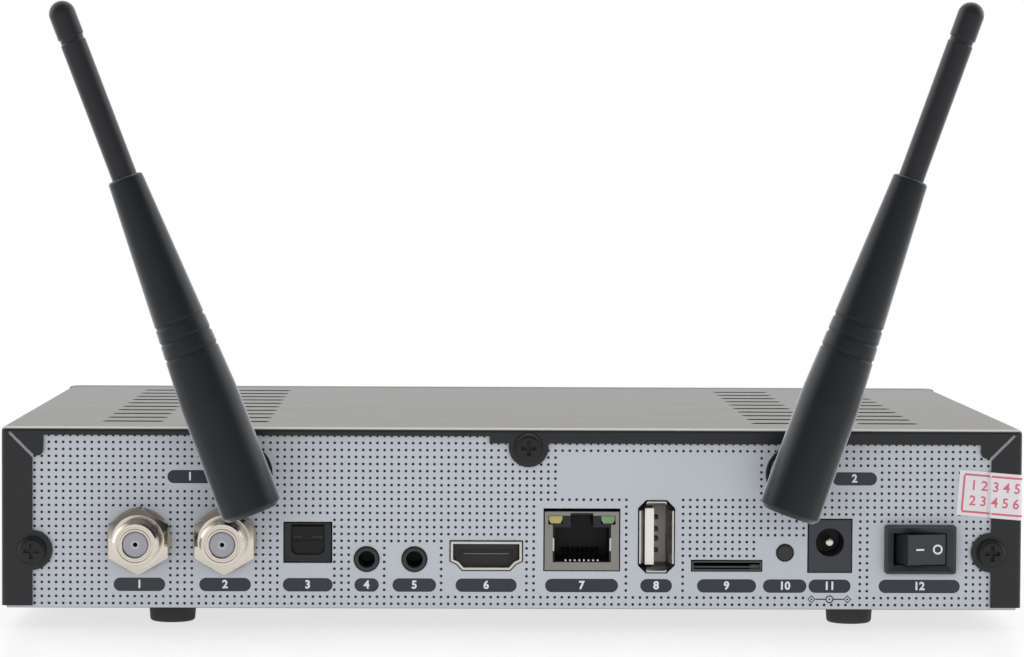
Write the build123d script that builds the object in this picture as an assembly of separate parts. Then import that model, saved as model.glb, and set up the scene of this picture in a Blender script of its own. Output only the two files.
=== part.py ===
"""A small satellite television receiver with two folding antennas, as an assembly of its real pieces.

Millimetres, +Z up. The connector panel faces -Y and the front fascia faces +Y.
Everything is drawn from the connector panel's outer face (y = 0) and the chassis underside (z = 0),
and write() then stands it on its feet with the origin under the middle of the whole object.
"""
import os
from math import radians, sin, tan

from build123d import *

os.makedirs("parts", exist_ok=True)

# ---------------------------------------------------------------- clearances
SLIDE_GAP = 0.1
PIN_GAP = 0.05
PANEL_GAP = 0.25
SEAT_GAP = 0.1
OVERSHOOT = 1.0

# ---------------------------------------------------------------- case
CASE_WIDTH = 215.0
CASE_HEIGHT = 38.4
COVER_DEPTH = 134.0
CHASSIS_SHEET = 0.8
CHASSIS_BEND = 0.7
LIP_HEIGHT = 8.1
COVER_SHEET = 0.9
COVER_BEND = 1.1
COVER_LIFT = 0.6
FLANGE_WIDTH = 6.5
TOP_FLANGE_LEFT = 1.8
TOP_FLANGE_RIGHT = 3.3
FLANGE_STEP_X = -5.0
CORNER_TAB = 8.8
CORNER_TAB_DROP = 6.2
CORNER_TAB_ROUND = 1.3
RELIEF_SLOT = 0.7
RELIEF_LENGTH = 7.8
RELIEF_INSET = 4.3
RELIEF_DROP = 4.0
SCREW_TAB_RADIUS = 4.2
SIDE_SCREW_HEIGHT = 12.3
TOP_SCREW_X = 3.2
TOP_SCREW_DROP = 4.1
COVER_SCREW_RADIUS = 1.45
COVER_SCREW_HEAD = 2.9
COVER_SCREW_HEAD_HEIGHT = 2.0
COVER_SCREW_LENGTH = 5.0
HALF_WIDTH = CASE_WIDTH / 2
MIDDLE_Z = CASE_HEIGHT / 2
INNER_HALF = HALF_WIDTH - COVER_SHEET
CHASSIS_HALF = INNER_HALF - SEAT_GAP
CHASSIS_TOP = CASE_HEIGHT - COVER_SHEET - SEAT_GAP
CHASSIS_FRONT = COVER_DEPTH - SEAT_GAP

# the places along the panel are drawn for a case of this width and spread with it
LAYOUT_WIDTH = 215.0
SPREAD = CASE_WIDTH / LAYOUT_WIDTH

# a screw head's rounding and cross, as shares of the head
SCREW_ROUND = 0.45
SCREW_CROSS_LENGTH = 1.1
SCREW_CROSS_WIDTH = 0.28

# vents: slots across the cover, four columns, and slots under the tray
VENT_LENGTH = 13.2
VENT_WIDTH = 3.0
VENT_ROWS = 10
VENT_FIRST_ROW = 15.0
VENT_LAST_ROW = 12.8
VENT_COLUMNS = (-81.2 * SPREAD, -58.6 * SPREAD, 58.0 * SPREAD, 80.8 * SPREAD)
VENT_PITCH = (COVER_DEPTH - VENT_FIRST_ROW - VENT_LAST_ROW) / (VENT_ROWS - 1)
BASE_VENT_LENGTH = 30.0
BASE_VENT_WIDTH = 2.5
BASE_VENT_PITCH = 7.0
BASE_VENT_ROWS = 8

# feet
FOOT_RADIUS = 5.1
FOOT_HEIGHT = 4.0
FOOT_TAPER = 0.35
FOOT_ROUND = 0.7
FOOT_SIDE_INSET = 35.0
FOOT_END_INSET = 12.0

# ---------------------------------------------------------------- front
FASCIA_DEPTH = 6.0
FASCIA_WALL = 2.0
FASCIA_CORNER = 3.0
FASCIA_EDGE = 0.5
WINDOW_SIDE = 48.5
WINDOW_MARGIN = 9.2
WINDOW_THICKNESS = 1.2
WINDOW_LEDGE = 2.0
STANDBY_SIDE = 23.5
STANDBY_RADIUS = 6.0
STANDBY_LIP = 1.0
STANDBY_TRAVEL = 0.6
STANDBY_PROUD = 1.2
FRONT_Y = COVER_DEPTH + FASCIA_DEPTH
FASCIA_IN = FRONT_Y - FASCIA_WALL
WINDOW_WIDTH = CASE_WIDTH - 2 * WINDOW_SIDE
WINDOW_HEIGHT = CASE_HEIGHT - 2 * WINDOW_MARGIN
STANDBY_X = STANDBY_SIDE - HALF_WIDTH
POST_RADIUS = 2.5
POST_INSET = 4.0
POST_X = WINDOW_WIDTH / 2 + 9.0
BOARD_THICKNESS = 1.6
FRONT_BOARD_SIDE = 19.5
FRONT_BOARD_LOW = LIP_HEIGHT + SEAT_GAP
FRONT_BOARD_HIGH = CASE_HEIGHT - FRONT_BOARD_LOW
FRONT_BOARD_FACE = CHASSIS_FRONT
FRONT_BOARD_BACK = FRONT_BOARD_FACE - BOARD_THICKNESS
DISPLAY_WIDTH = 40.0
DISPLAY_HEIGHT = 14.0
DIGITS = 4
DIGIT_PITCH = 9.4
DIGIT_WIDTH = 4.4
DIGIT_HEIGHT = 4.0
DIGIT_RISE = 2.6
DIGIT_DEPTH = 0.3
KEY_SWITCH_SIDE = 6.0
KEY_PLUNGER_RADIUS = 1.5
KEY_PLUNGER = 0.7
SENSOR_WIDTH = 6.0
SENSOR_HEIGHT = 7.0
SENSOR_DEPTH = 2.0
SENSOR_DOME = 1.8
SENSOR_X = WINDOW_WIDTH / 2 - 12.0

# ---------------------------------------------------------------- main board and what it carries
STANDOFF_HEIGHT = 5.3
STANDOFF_RADIUS = 3.0
STANDOFF_BORE = 1.3
STANDOFF_BORE_DEPTH = 4.0
STANDOFF_INSET = 6.0
BOARD_SIDE = 11.5
BOARD_FRONT_GAP = 19.2
BOARD_GAP = 2.0
BOARD_SCREW_HEAD = 2.6
BOARD_SCREW_HEAD_HEIGHT = 1.6
BOARD_SCREW_GRIP = 3.0
BOARD_BOTTOM = CHASSIS_SHEET + STANDOFF_HEIGHT
BOARD_TOP = BOARD_BOTTOM + BOARD_THICKNESS
BOARD_REAR = CHASSIS_SHEET + BOARD_GAP
BOARD_FRONT = COVER_DEPTH - BOARD_FRONT_GAP
BOARD_MIDDLE = (BOARD_REAR + BOARD_FRONT) / 2
BOARD_HALF = HALF_WIDTH - BOARD_SIDE
CHIP_X = -8.0
CHIP_HEIGHT = 1.6
CHIP_SPACING = 23.0
PROCESSOR_SIDE = 19.0
MEMORY_WIDTH = 9.0
MEMORY_LENGTH = 13.0
MEMORY_RISE = 9.0
FLASH_WIDTH = 12.0
FLASH_LENGTH = 18.0
HEAT_SINK_SIDE = 30.0
HEAT_SINK_HEIGHT = 11.0
HEAT_SINK_PLATE = 2.0
HEAT_SINK_FIN = 1.2
HEAT_SINK_FINS = 7
MODULE_X = 40.0
MODULE_INSET = 18.0
MODULE_WIDTH = 26.0
MODULE_DEPTH = 18.0
MODULE_BOARD = 1.0
MODULE_CAN_HEIGHT = 2.4
MODULE_CAN_MARGIN = 3.0
MODULE_SOCKET_X = 6.0
MODULE_SOCKET_INSET = 2.2
MODULE_SOCKET_RADIUS = 1.2
MODULE_Y = BOARD_FRONT - MODULE_INSET
PIGTAIL_RADIUS = 0.6
PIGTAIL_BEND = 6.0
PIGTAIL_RUN = 22.0
PIGTAIL_SEAT = 3.0
RIBBON_WIDTH = 16.0
RIBBON_THICKNESS = 0.3
RIBBON_ARCH = 24.0
RIBBON_RISE = 8.0
RIBBON_BEND = 2.2
RIBBON_PLUG_MARGIN = 1.5
RIBBON_PLUG_DEPTH = 4.0
RIBBON_PLUG_HEIGHT = 3.0
RIBBON_HEADER_RISE = 4.0

# ---------------------------------------------------------------- satellite sockets (3/8 inch thread)
TUNER_X = (-78.6 * SPREAD, -60.6 * SPREAD)
TUNER_Z = BOARD_TOP + 6.8
TUNER_THREAD = 4.76
TUNER_PITCH_RADIUS = 4.5
TUNER_RELIEF = 0.3
TUNER_BORE = 2.75
TUNER_GROOVE = 3.6
TUNER_GROOVE_WIDTH = 0.45
TUNER_EDGE = 0.5
TUNER_REACH = 10.7
TUNER_BACK = CHASSIS_SHEET + 0.2
TUNER_CONTACT = 0.9
TUNER_CONTACT_HOLE = 0.5
TUNER_CONTACT_SEAT = 2.0
TUNER_CONTACT_TAIL = 5.0
TUNER_INSULATOR_INSET = 0.15
TUNER_INSULATOR_ROUND = 0.6
TUNER_NUT_FLATS = 12.4
TUNER_NUT_THICKNESS = 3.2
TUNER_NUT_BEVEL = 30.0
TUNER_WASHER = 6.7
TUNER_WASHER_THICKNESS = 0.9
TUNER_NUT_FRONT = -TUNER_WASHER_THICKNESS - TUNER_NUT_THICKNESS
CAN_WIDTH = 16.0
CAN_DEPTH = 32.0
CAN_HEIGHT = 13.8
CAN_SHEET = 0.4

# ---------------------------------------------------------------- optical socket
OPTICAL_X = -43.2 * SPREAD
OPTICAL_Z = BOARD_TOP + 6.3
OPTICAL_WIDTH = 9.8
OPTICAL_HEIGHT = 8.2
OPTICAL_DEPTH = 13.5
OPTICAL_HOLE_WIDTH = 7.0
OPTICAL_HOLE_HEIGHT = 6.4
OPTICAL_HOLE_RISE = 0.6
OPTICAL_HOLE_DEPTH = 9.0
OPTICAL_CORNER = 0.9
OPTICAL_LEDGE = 0.9
OPTICAL_LEDGE_DEPTH = 0.4
SHUTTER_THICKNESS = 0.8
SHUTTER_PIN = 0.5
SHUTTER_EAR = 0.6
SHUTTER_BAND = 0.7
SHUTTER_BAND_PROUD = 0.2

# ---------------------------------------------------------------- round jacks (3.5 mm)
JACK_X = (-30.8 * SPREAD, -20.75 * SPREAD)
JACK_Z = BOARD_TOP + 2.8
JACK_BORE = 1.78
JACK_RING = 2.5
JACK_RING_REACH = 0.5
JACK_RING_ROUND = 0.3
JACK_WIDTH = 7.0
JACK_TOP = 3.1
JACK_DEPTH = 13.8
JACK_HOLE_DEPTH = 12.1

# ---------------------------------------------------------------- video socket
VIDEO_X = -5.6 * SPREAD
VIDEO_Z = BOARD_TOP + 3.6
VIDEO_WIDTH = 15.0
VIDEO_HEIGHT = 6.0
VIDEO_DEPTH = 11.0
VIDEO_SHEET = 0.5
VIDEO_REACH = 0.3
VIDEO_SHOULDER = 4.1
VIDEO_STEP = 1.3
VIDEO_STEP_DROP = 0.6
VIDEO_FOOT = 2.5
VIDEO_LEG = 2.0
VIDEO_LEG_INSET = 3.0
VIDEO_TONGUE_WIDTH = 11.4
VIDEO_TONGUE = 1.3
VIDEO_TONGUE_RISE = 0.55
VIDEO_TONGUE_INSET = 1.2
VIDEO_WEB = 2.0

# ---------------------------------------------------------------- network socket
NETWORK_X = 14.55 * SPREAD
NETWORK_Z = BOARD_TOP + 6.8
NETWORK_WIDTH = 15.7
NETWORK_HEIGHT = 12.4
NETWORK_ROOM = 0.4
NETWORK_DEPTH = 19.0
NETWORK_SHEET = 0.3
NETWORK_FRAME = 1.7
NETWORK_TOP_FRAME = 0.85
NETWORK_HOLE_WIDTH = 11.6
NETWORK_HOLE_HEIGHT = 7.4
NETWORK_HOLE_DEPTH = 13.0
NETWORK_LATCH_WIDTH = 4.8
NETWORK_LIGHT_WIDTH = 2.9
NETWORK_LIGHT_HEIGHT = 1.6
NETWORK_LIGHT_DEPTH = 5.0
NETWORK_LIGHT_CORNER = 0.45
NETWORK_LIGHT_RECESS = 1.9
NETWORK_CONTACTS = 8
NETWORK_CONTACT_PITCH = 1.02
NETWORK_CONTACT_WIDTH = 0.4
NETWORK_CONTACT_RISE = 1.9
NETWORK_CONTACT_LOW = 0.55
NETWORK_CONTACT_REACH = 1.0
NETWORK_FACE = -0.1
NETWORK_LOW = NETWORK_Z - NETWORK_HEIGHT / 2
NETWORK_TOP = NETWORK_Z + NETWORK_HEIGHT / 2
NETWORK_FLOOR = NETWORK_LOW + NETWORK_FRAME - PIN_GAP

# ---------------------------------------------------------------- usb socket, standing on its edge
USB_X = 30.3 * SPREAD
USB_Z = BOARD_TOP + 7.7
USB_WIDTH = 5.9
USB_HEIGHT = 13.6
USB_DEPTH = 14.0
USB_SHEET = 0.3
USB_REACH = 0.3
USB_FLARE = 0.7
USB_FLARE_DEPTH = 1.4
USB_CORNER = 1.7
USB_THROAT_CORNER = 0.4
USB_FOOT = 1.5
USB_FOOT_INSET = 2.8
USB_TONGUE = 1.9
USB_TONGUE_GAP = 0.25
USB_TONGUE_MARGIN = 0.55
USB_TONGUE_INSET = 0.6
USB_WEB = 3.0
USB_CONTACT_END = 9.0
USB_CONTACTS = ((-3.5, 7.4), (-1.0, 6.4), (1.0, 6.4), (3.5, 7.4))
USB_CONTACT_WIDTH = 1.0
USB_CONTACT_THICKNESS = 0.15

# ---------------------------------------------------------------- card socket, recovery key, power socket
SOCKET_FACE = -0.1
CARD_X = 45.2 * SPREAD
CARD_Z = BOARD_TOP + 1.6
CARD_WIDTH = 14.6
CARD_HEIGHT = 2.0
CARD_DEPTH = 14.5
CARD_SHEET = 0.3
CARD_STOP = 1.0
RECOVERY_X = 57.5 * SPREAD
RECOVERY_Z = BOARD_TOP + 4.4
RECOVERY_RADIUS = 1.65
RECOVERY_ROUND = 0.3
RECOVERY_PROUD = 0.4
RECOVERY_TRAVEL = 0.5
RECOVERY_LENGTH = 5.0
RECOVERY_LIP = 0.7
RECOVERY_LIP_THICKNESS = 1.0
RECOVERY_STEM = 1.2
RECOVERY_SWITCH_DEPTH = 3.6
RECOVERY_PLUNGER = 1.0
POWER_X = 67.0 * SPREAD
POWER_Z = BOARD_TOP + 5.9
POWER_WIDTH = 9.0
POWER_HEIGHT = 11.0
POWER_DEPTH = 13.5
POWER_BORE = 3.0
POWER_HOLE_RISE = 0.7
POWER_HOLE_DEPTH = 10.0
POWER_PIN = 1.0
POWER_PIN_INSET = 0.4
POWER_PIN_ROUND = 0.6

# ---------------------------------------------------------------- rocker switch
SWITCH_X = 86.0 * SPREAD
SWITCH_Z = 13.0
SWITCH_WIDTH = 15.0
SWITCH_HEIGHT = 10.3
SWITCH_ROUND = 0.6
SWITCH_BEZEL = 2.0
SWITCH_BEZEL_RIM = 0.5
SWITCH_BEZEL_INNER = 0.9
SWITCH_OPEN_WIDTH = 11.2
SWITCH_OPEN_HEIGHT = 6.8
SWITCH_END_WALL = 0.9
SWITCH_SIDE_WALL = 1.2
SWITCH_FLOOR = 1.5
SWITCH_DEPTH = 11.0
SWITCH_BODY_WIDTH = SWITCH_OPEN_WIDTH + 2 * SWITCH_END_WALL
SWITCH_BODY_HEIGHT = SWITCH_OPEN_HEIGHT + 2 * SWITCH_SIDE_WALL
ROCKER_TILT = 14.0
ROCKER_CREST = 5.4
ROCKER_DISH = 0.35
ROCKER_HALF_TOP = 4.2
ROCKER_HALF_BASE = 5.2
ROCKER_HALF_KEEL = 3.2
ROCKER_BASE = 0.8
ROCKER_KEEL = 2.4
ROCKER_SIDE_GAP = 0.2
ROCKER_PIVOT_DEPTH = 3.3
ROCKER_PIN = 0.9
ROCKER_PIN_LENGTH = 0.8
BLADE_SPACING = 7.0
BLADE_THICKNESS = 0.8
BLADE_WIDTH = 4.8
BLADE_LENGTH = 7.0
WIRE_RADIUS = 0.8
WIRE_BEND = 3.5
WIRE_REACH = 8.0

# ---------------------------------------------------------------- antennas
ANTENNA_X = (-56.8 * SPREAD, 59.4 * SPREAD)
ANTENNA_TILT = (-20.95, 19.6)
ANTENNA_DROP = 9.7
ANTENNA_STANDOFF = 13.0
ANTENNA_TAIL = 7.8
ANTENNA_TAIL_EDGE = 1.0
ANTENNA_BUTT_RADIUS = 6.45
ANTENNA_WAIST_RADIUS = 6.3
ANTENNA_WAIST = 17.0
ANTENNA_SHOULDER_RADIUS = 3.7
ANTENNA_SHOULDER = 66.3
ANTENNA_SHOULDER_EDGE = 0.4
ANTENNA_GROOVES = (27.9, 31.3, 34.7)
ANTENNA_GROOVE_DEPTH = 0.25
ANTENNA_GROOVE_WIDTH = 0.7
MAST_RADIUS = 2.68
MAST_TIP = 104.9
MAST_BULB_RADIUS = 2.76
MAST_BULB_LENGTH = 8.0
MAST_BULB_EDGE = 0.3
MAST_NECK_RADIUS = 2.45
MAST_NECK_LENGTH = 0.8
MAST_SOCKET = 14.0
BASE_RING_RADIUS = 6.2
BASE_RING_THICKNESS = 1.0
BASE_RING_ROUND = 0.3
STEM_RADIUS = 3.6
STEM_WALL = 1.2
STEM_LENGTH = 7.3
COLLAR_RADIUS = 5.3
COLLAR_THICKNESS = 1.3
COLLAR_ROUND = 0.4
JOURNAL_LENGTH = 5.0
TONGUE_THICKNESS = 5.0
TONGUE_RADIUS = 3.5
HINGE_PIN_RADIUS = 1.2
HINGE_PIN_INSET = 0.6
ANTENNA_NUT_FLATS = 11.0
ANTENNA_NUT_THICKNESS = 2.5
ANTENNA_Z = CASE_HEIGHT - ANTENNA_DROP
ANTENNA_FRONT = -(ANTENNA_STANDOFF + ANTENNA_BUTT_RADIUS)

# ---------------------------------------------------------------- seal
SEAL_WIDTH = 13.5
SEAL_HEIGHT = 9.6
SEAL_WRAP = 16.0
SEAL_THICKNESS = 0.12
SEAL_DROP = 13.9
SEAL_TILT = 4.6
SEAL_RAMP = 0.8

# the middle of the whole object, front key to antennas
MIDDLE_Y = (FRONT_Y + STANDBY_PROUD + ANTENNA_FRONT) / 2


# ---------------------------------------------------------------- helpers
def block(x, y, z):
    """A box between low and high values on each axis."""
    size = Box(x[1] - x[0], y[1] - y[0], z[1] - z[0])
    return Pos((x[0] + x[1]) / 2, (y[0] + y[1]) / 2, (z[0] + z[1]) / 2) * size


def around(middle, width):
    """Low and high values of a width centred on middle."""
    return (middle - width / 2, middle + width / 2)


def rod_y(x, z, radius, y):
    """A round bar along Y."""
    bar = Cylinder(radius, y[1] - y[0], rotation=(90, 0, 0))
    return Pos(x, (y[0] + y[1]) / 2, z) * bar


def rod_x(y, z, radius, x):
    """A round bar along X."""
    bar = Cylinder(radius, x[1] - x[0], rotation=(0, 90, 0))
    return Pos((x[0] + x[1]) / 2, y, z) * bar


def rod_z(x, y, radius, z):
    """A round bar along Z."""
    return Pos(x, y, (z[0] + z[1]) / 2) * Cylinder(radius, z[1] - z[0])


def raise_xz(sketch, y):
    """A plate of a sketch drawn in X and Z, between two depths along Y."""
    return Pos(0, y[1], 0) * extrude(Plane.XZ * sketch, amount=y[1] - y[0])


def plate_xz(outline, y):
    """A plate of an XZ outline, between two depths along Y."""
    return raise_xz(make_face(Polyline(*outline, close=True)), y)


def hex_plate(x, z, flats, y):
    """A hexagonal plate with a corner straight up, its faces across Y."""
    return raise_xz(Pos(x, z) * RegularPolygon(flats / 2, 6, major_radius=False, rotation=90), y)


def slot_z(x, y, length, width, z):
    """An upright cutter for a round-ended slot along X."""
    return Pos(x, y, z[0]) * extrude(SlotOverall(length, width), amount=z[1] - z[0])


def cable(points, bend, radius):
    """A round cable along straight runs joined by arcs."""
    path = FilletPolyline(*points, radius=bend)
    return sweep(Plane(origin=path @ 0, z_dir=path % 0) * Circle(radius), path=path)


def through_panel(x, z, width, height, front, back):
    """A socket body that sits on the main board, with a nose of the window's size in the panel."""
    behind = CHASSIS_SHEET + PANEL_GAP
    nose = block(around(x, width), (front, behind + PANEL_GAP), around(z, height))
    return nose + block(around(x, width), (behind, back), (BOARD_TOP, z + height / 2))


def pan_head_screw(radius, head_radius, head_height, length):
    """A cross-head screw pointing up +Z from z = 0 under its head, which hangs below."""
    head = Pos(0, 0, -head_height / 2) * Cylinder(head_radius, head_height)
    head = fillet(head.edges().sort_by(Axis.Z)[0], head_height * SCREW_ROUND)
    shank = Pos(0, 0, length / 2) * Cylinder(radius, length)
    long = head_radius * SCREW_CROSS_LENGTH
    wide = head_radius * SCREW_CROSS_WIDTH
    cross = Box(long, wide, head_height) + Box(wide, long, head_height)
    return head + shank - Pos(0, 0, -head_height) * cross


def write(name, *shapes):
    """Stand the piece on its feet, centre it and export it as one node."""
    place = Pos(0, -MIDDLE_Y, FOOT_HEIGHT)
    placed = [place * one for shape in shapes for one in shape.solids()]
    shape = placed[0] if len(placed) == 1 else Compound(children=placed)
    export_step(shape, "parts/" + name + ".step")


# ---------------------------------------------------------------- chassis
def cover_screw_places():
    """The three screws that hold the cover: x and z."""
    side = HALF_WIDTH - FLANGE_WIDTH
    height = CASE_HEIGHT - TOP_SCREW_DROP
    return [(-side, SIDE_SCREW_HEIGHT), (side, SIDE_SCREW_HEIGHT), (TOP_SCREW_X, height)]


def socket_windows(through):
    """Cutters for the sockets' windows in the connector panel."""
    gap = 2 * PANEL_GAP
    windows = [
        (OPTICAL_X, OPTICAL_Z, OPTICAL_WIDTH, OPTICAL_HEIGHT),
        (NETWORK_X, NETWORK_Z + NETWORK_ROOM / 2, NETWORK_WIDTH, NETWORK_HEIGHT + NETWORK_ROOM),
        (CARD_X, CARD_Z, CARD_WIDTH, CARD_HEIGHT),
        (POWER_X, POWER_Z, POWER_WIDTH, POWER_HEIGHT),
        (SWITCH_X, SWITCH_Z, SWITCH_BODY_WIDTH, SWITCH_BODY_HEIGHT),
    ]
    cuts = [video_block(-PANEL_GAP, through), usb_hole(through)]
    for x, z, width, height in windows:
        cuts.append(block(around(x, width + gap), through, around(z, height + gap)))
    return cuts


def round_holes(through):
    """Cutters for the round holes in the connector panel."""
    cuts = [rod_y(x, TUNER_Z, TUNER_THREAD + PANEL_GAP, through) for x in TUNER_X]
    cuts += [rod_y(x, JACK_Z, JACK_RING + PANEL_GAP, through) for x in JACK_X]
    cuts += [rod_y(x, ANTENNA_Z, STEM_RADIUS + SLIDE_GAP, through) for x in ANTENNA_X]
    cuts += [rod_y(x, z, COVER_SCREW_RADIUS + PIN_GAP, through) for x, z in cover_screw_places()]
    cuts.append(rod_y(RECOVERY_X, RECOVERY_Z, RECOVERY_RADIUS + PANEL_GAP, through))
    return cuts


def chassis_tray():
    """Folded steel tray: base, connector panel, side lips and front lip, one sheet."""
    across = (-CHASSIS_HALF, CHASSIS_HALF)
    tray = block(across, (0, CHASSIS_FRONT), (0, CHASSIS_SHEET))
    tray += block(across, (0, CHASSIS_SHEET), (0, CHASSIS_TOP))
    tray += block(across, (CHASSIS_FRONT - CHASSIS_SHEET, CHASSIS_FRONT), (0, LIP_HEIGHT))
    for side in (-1, 1):
        edges = sorted((side * CHASSIS_HALF, side * (CHASSIS_HALF - CHASSIS_SHEET)))
        tray += block(edges, (0, CHASSIS_FRONT), (0, LIP_HEIGHT))
    bend = tray.edges().filter_by(Axis.X).sort_by(Axis.Y)[:4].sort_by(Axis.Z)[0]
    tray = fillet(bend, CHASSIS_BEND)
    tray = fillet(tray.edges().filter_by(Axis.Y).sort_by(Axis.Z)[-2:], COVER_BEND)
    through = (-OVERSHOOT, CHASSIS_SHEET + OVERSHOOT)
    for cut in round_holes(through) + socket_windows(through):
        tray -= cut
    for row in range(BASE_VENT_ROWS):
        y = BOARD_MIDDLE + (row - (BASE_VENT_ROWS - 1) / 2) * BASE_VENT_PITCH
        for x in (-BASE_VENT_LENGTH, BASE_VENT_LENGTH):
            tray -= slot_z(x, y, BASE_VENT_LENGTH, BASE_VENT_WIDTH, through)
    return tray


def rubber_feet():
    """Four tapered rubber feet glued under the tray."""
    foot = Cone(FOOT_RADIUS - FOOT_TAPER, FOOT_RADIUS, FOOT_HEIGHT)
    foot = fillet(foot.edges().sort_by(Axis.Z)[0], FOOT_ROUND)
    side = HALF_WIDTH - FOOT_SIDE_INSET
    rows = (FOOT_END_INSET, COVER_DEPTH - FOOT_END_INSET)
    return [Pos(x, y, -FOOT_HEIGHT / 2) * foot for y in rows for x in (-side, side)]


# ---------------------------------------------------------------- cover
def flange_opening():
    """What the cover's rear flange leaves open, as a cutting plate."""
    deep = (-COVER_SHEET - OVERSHOOT, COVER_BEND)
    half = HALF_WIDTH - FLANGE_WIDTH
    tab = HALF_WIDTH - CORNER_TAB
    low = CASE_HEIGHT - CORNER_TAB_DROP
    opening = block((-half, half), deep, (-OVERSHOOT, low))
    above = low - OVERSHOOT
    opening += block((-tab, FLANGE_STEP_X), deep, (above, CASE_HEIGHT - TOP_FLANGE_LEFT))
    opening += block((FLANGE_STEP_X - OVERSHOOT, tab), deep, (above, CASE_HEIGHT - TOP_FLANGE_RIGHT))
    centre = (tab + CORNER_TAB_ROUND, low + CORNER_TAB_ROUND)
    corner = block((tab - OVERSHOOT, centre[0]), deep, (above, centre[1]))
    corner -= rod_y(*centre, CORNER_TAB_ROUND, (deep[0] - OVERSHOOT, deep[1] + OVERSHOOT))
    opening += corner + mirror(corner, about=Plane.YZ)
    for x, z in cover_screw_places():
        opening -= rod_y(x, z, SCREW_TAB_RADIUS, (deep[0] - OVERSHOOT, deep[1] + OVERSHOOT))
    return opening


def relief_slots():
    """The two slanted slits where the flange's top and sides were folded separately."""
    x = HALF_WIDTH - RELIEF_INSET
    z = CASE_HEIGHT - RELIEF_DROP
    slit = Box(RELIEF_SLOT, 2 * COVER_SHEET, RELIEF_LENGTH)
    return [Pos(side * x, -COVER_SHEET / 2, z) * Rot(0, side * 45, 0) * slit for side in (-1, 1)]


def top_cover():
    """Folded steel cover: top, two sides and a rear flange that overlaps the connector panel."""
    low = COVER_LIFT
    outer = block((-HALF_WIDTH, HALF_WIDTH), (-COVER_SHEET, COVER_DEPTH), (low, CASE_HEIGHT))
    lengthways = outer.edges().filter_by(Axis.Y).sort_by(Axis.Z)[-2:]
    across = outer.edges().filter_by(Axis.X).sort_by(Axis.Z)[-2:].sort_by(Axis.Y)[0]
    upright = outer.edges().filter_by(Axis.Z).sort_by(Axis.Y)[:2]
    outer = fillet(lengthways + [across] + upright, COVER_BEND)
    top = CASE_HEIGHT - COVER_SHEET
    inner = block((-INNER_HALF, INNER_HALF), (0, COVER_DEPTH + OVERSHOOT), (low - OVERSHOOT, top))
    inner = fillet(inner.edges().filter_by(Axis.Y).sort_by(Axis.Z)[-2:], COVER_BEND - COVER_SHEET)
    cover = outer - inner - flange_opening()
    for slit in relief_slots():
        cover -= slit
    for x, z in cover_screw_places():
        cover -= rod_y(x, z, COVER_SCREW_RADIUS + PIN_GAP, (-COVER_SHEET - OVERSHOOT, OVERSHOOT))
    for x in VENT_COLUMNS:
        for row in range(VENT_ROWS):
            y = VENT_FIRST_ROW + row * VENT_PITCH
            cover -= slot_z(x, y, VENT_LENGTH, VENT_WIDTH, (top - OVERSHOOT, CASE_HEIGHT + OVERSHOOT))
    return cover


def cover_screws():
    """The three black screws on the connector panel."""
    screw = pan_head_screw(COVER_SCREW_RADIUS, COVER_SCREW_HEAD, COVER_SCREW_HEAD_HEIGHT,
                           COVER_SCREW_LENGTH)
    return [Pos(x, -COVER_SHEET, z) * Rot(-90, 0, 0) * screw for x, z in cover_screw_places()]


def seal_strip():
    """The seal's path round the flange's edge and the case's corner, seen from above."""
    edge = HALF_WIDTH - FLANGE_WIDTH
    corner = HALF_WIDTH - COVER_BEND
    bend = COVER_BEND - COVER_SHEET
    thick = SEAL_THICKNESS
    start = HALF_WIDTH - SEAL_WIDTH - OVERSHOOT
    outer_x = HALF_WIDTH + thick
    near = COVER_BEND * sin(radians(45))
    far = (COVER_BEND + thick) * sin(radians(45))
    with BuildSketch() as strip:
        with BuildLine():
            Polyline((outer_x, bend), (outer_x, SEAL_WRAP), (HALF_WIDTH, SEAL_WRAP), (HALF_WIDTH, bend))
            ThreePointArc((HALF_WIDTH, bend), (corner + near, bend - near), (corner, -COVER_SHEET))
            Polyline((corner, -COVER_SHEET), (edge, -COVER_SHEET), (edge - SEAL_RAMP, 0),
                     (start, 0), (start, -thick), (edge - SEAL_RAMP - thick, -thick),
                     (edge - thick, -COVER_SHEET - thick), (corner, -COVER_SHEET - thick))
            ThreePointArc((corner, -COVER_SHEET - thick), (corner + far, bend - far), (outer_x, bend))
        make_face()
    return strip.sketch


def seal_sticker():
    """Paper seal, stuck a little crooked over the flange's edge and round the case's corner."""
    tall = extrude(seal_strip(), amount=CASE_HEIGHT)
    limits = Pos(FLANGE_WIDTH, 0, 0) * Box(2 * SEAL_WIDTH, 4 * SEAL_WRAP, SEAL_HEIGHT)
    turned = Rot(0, SEAL_TILT, 0) * limits
    return tall & (Pos(HALF_WIDTH - FLANGE_WIDTH, 0, CASE_HEIGHT - SEAL_DROP) * turned)


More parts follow.
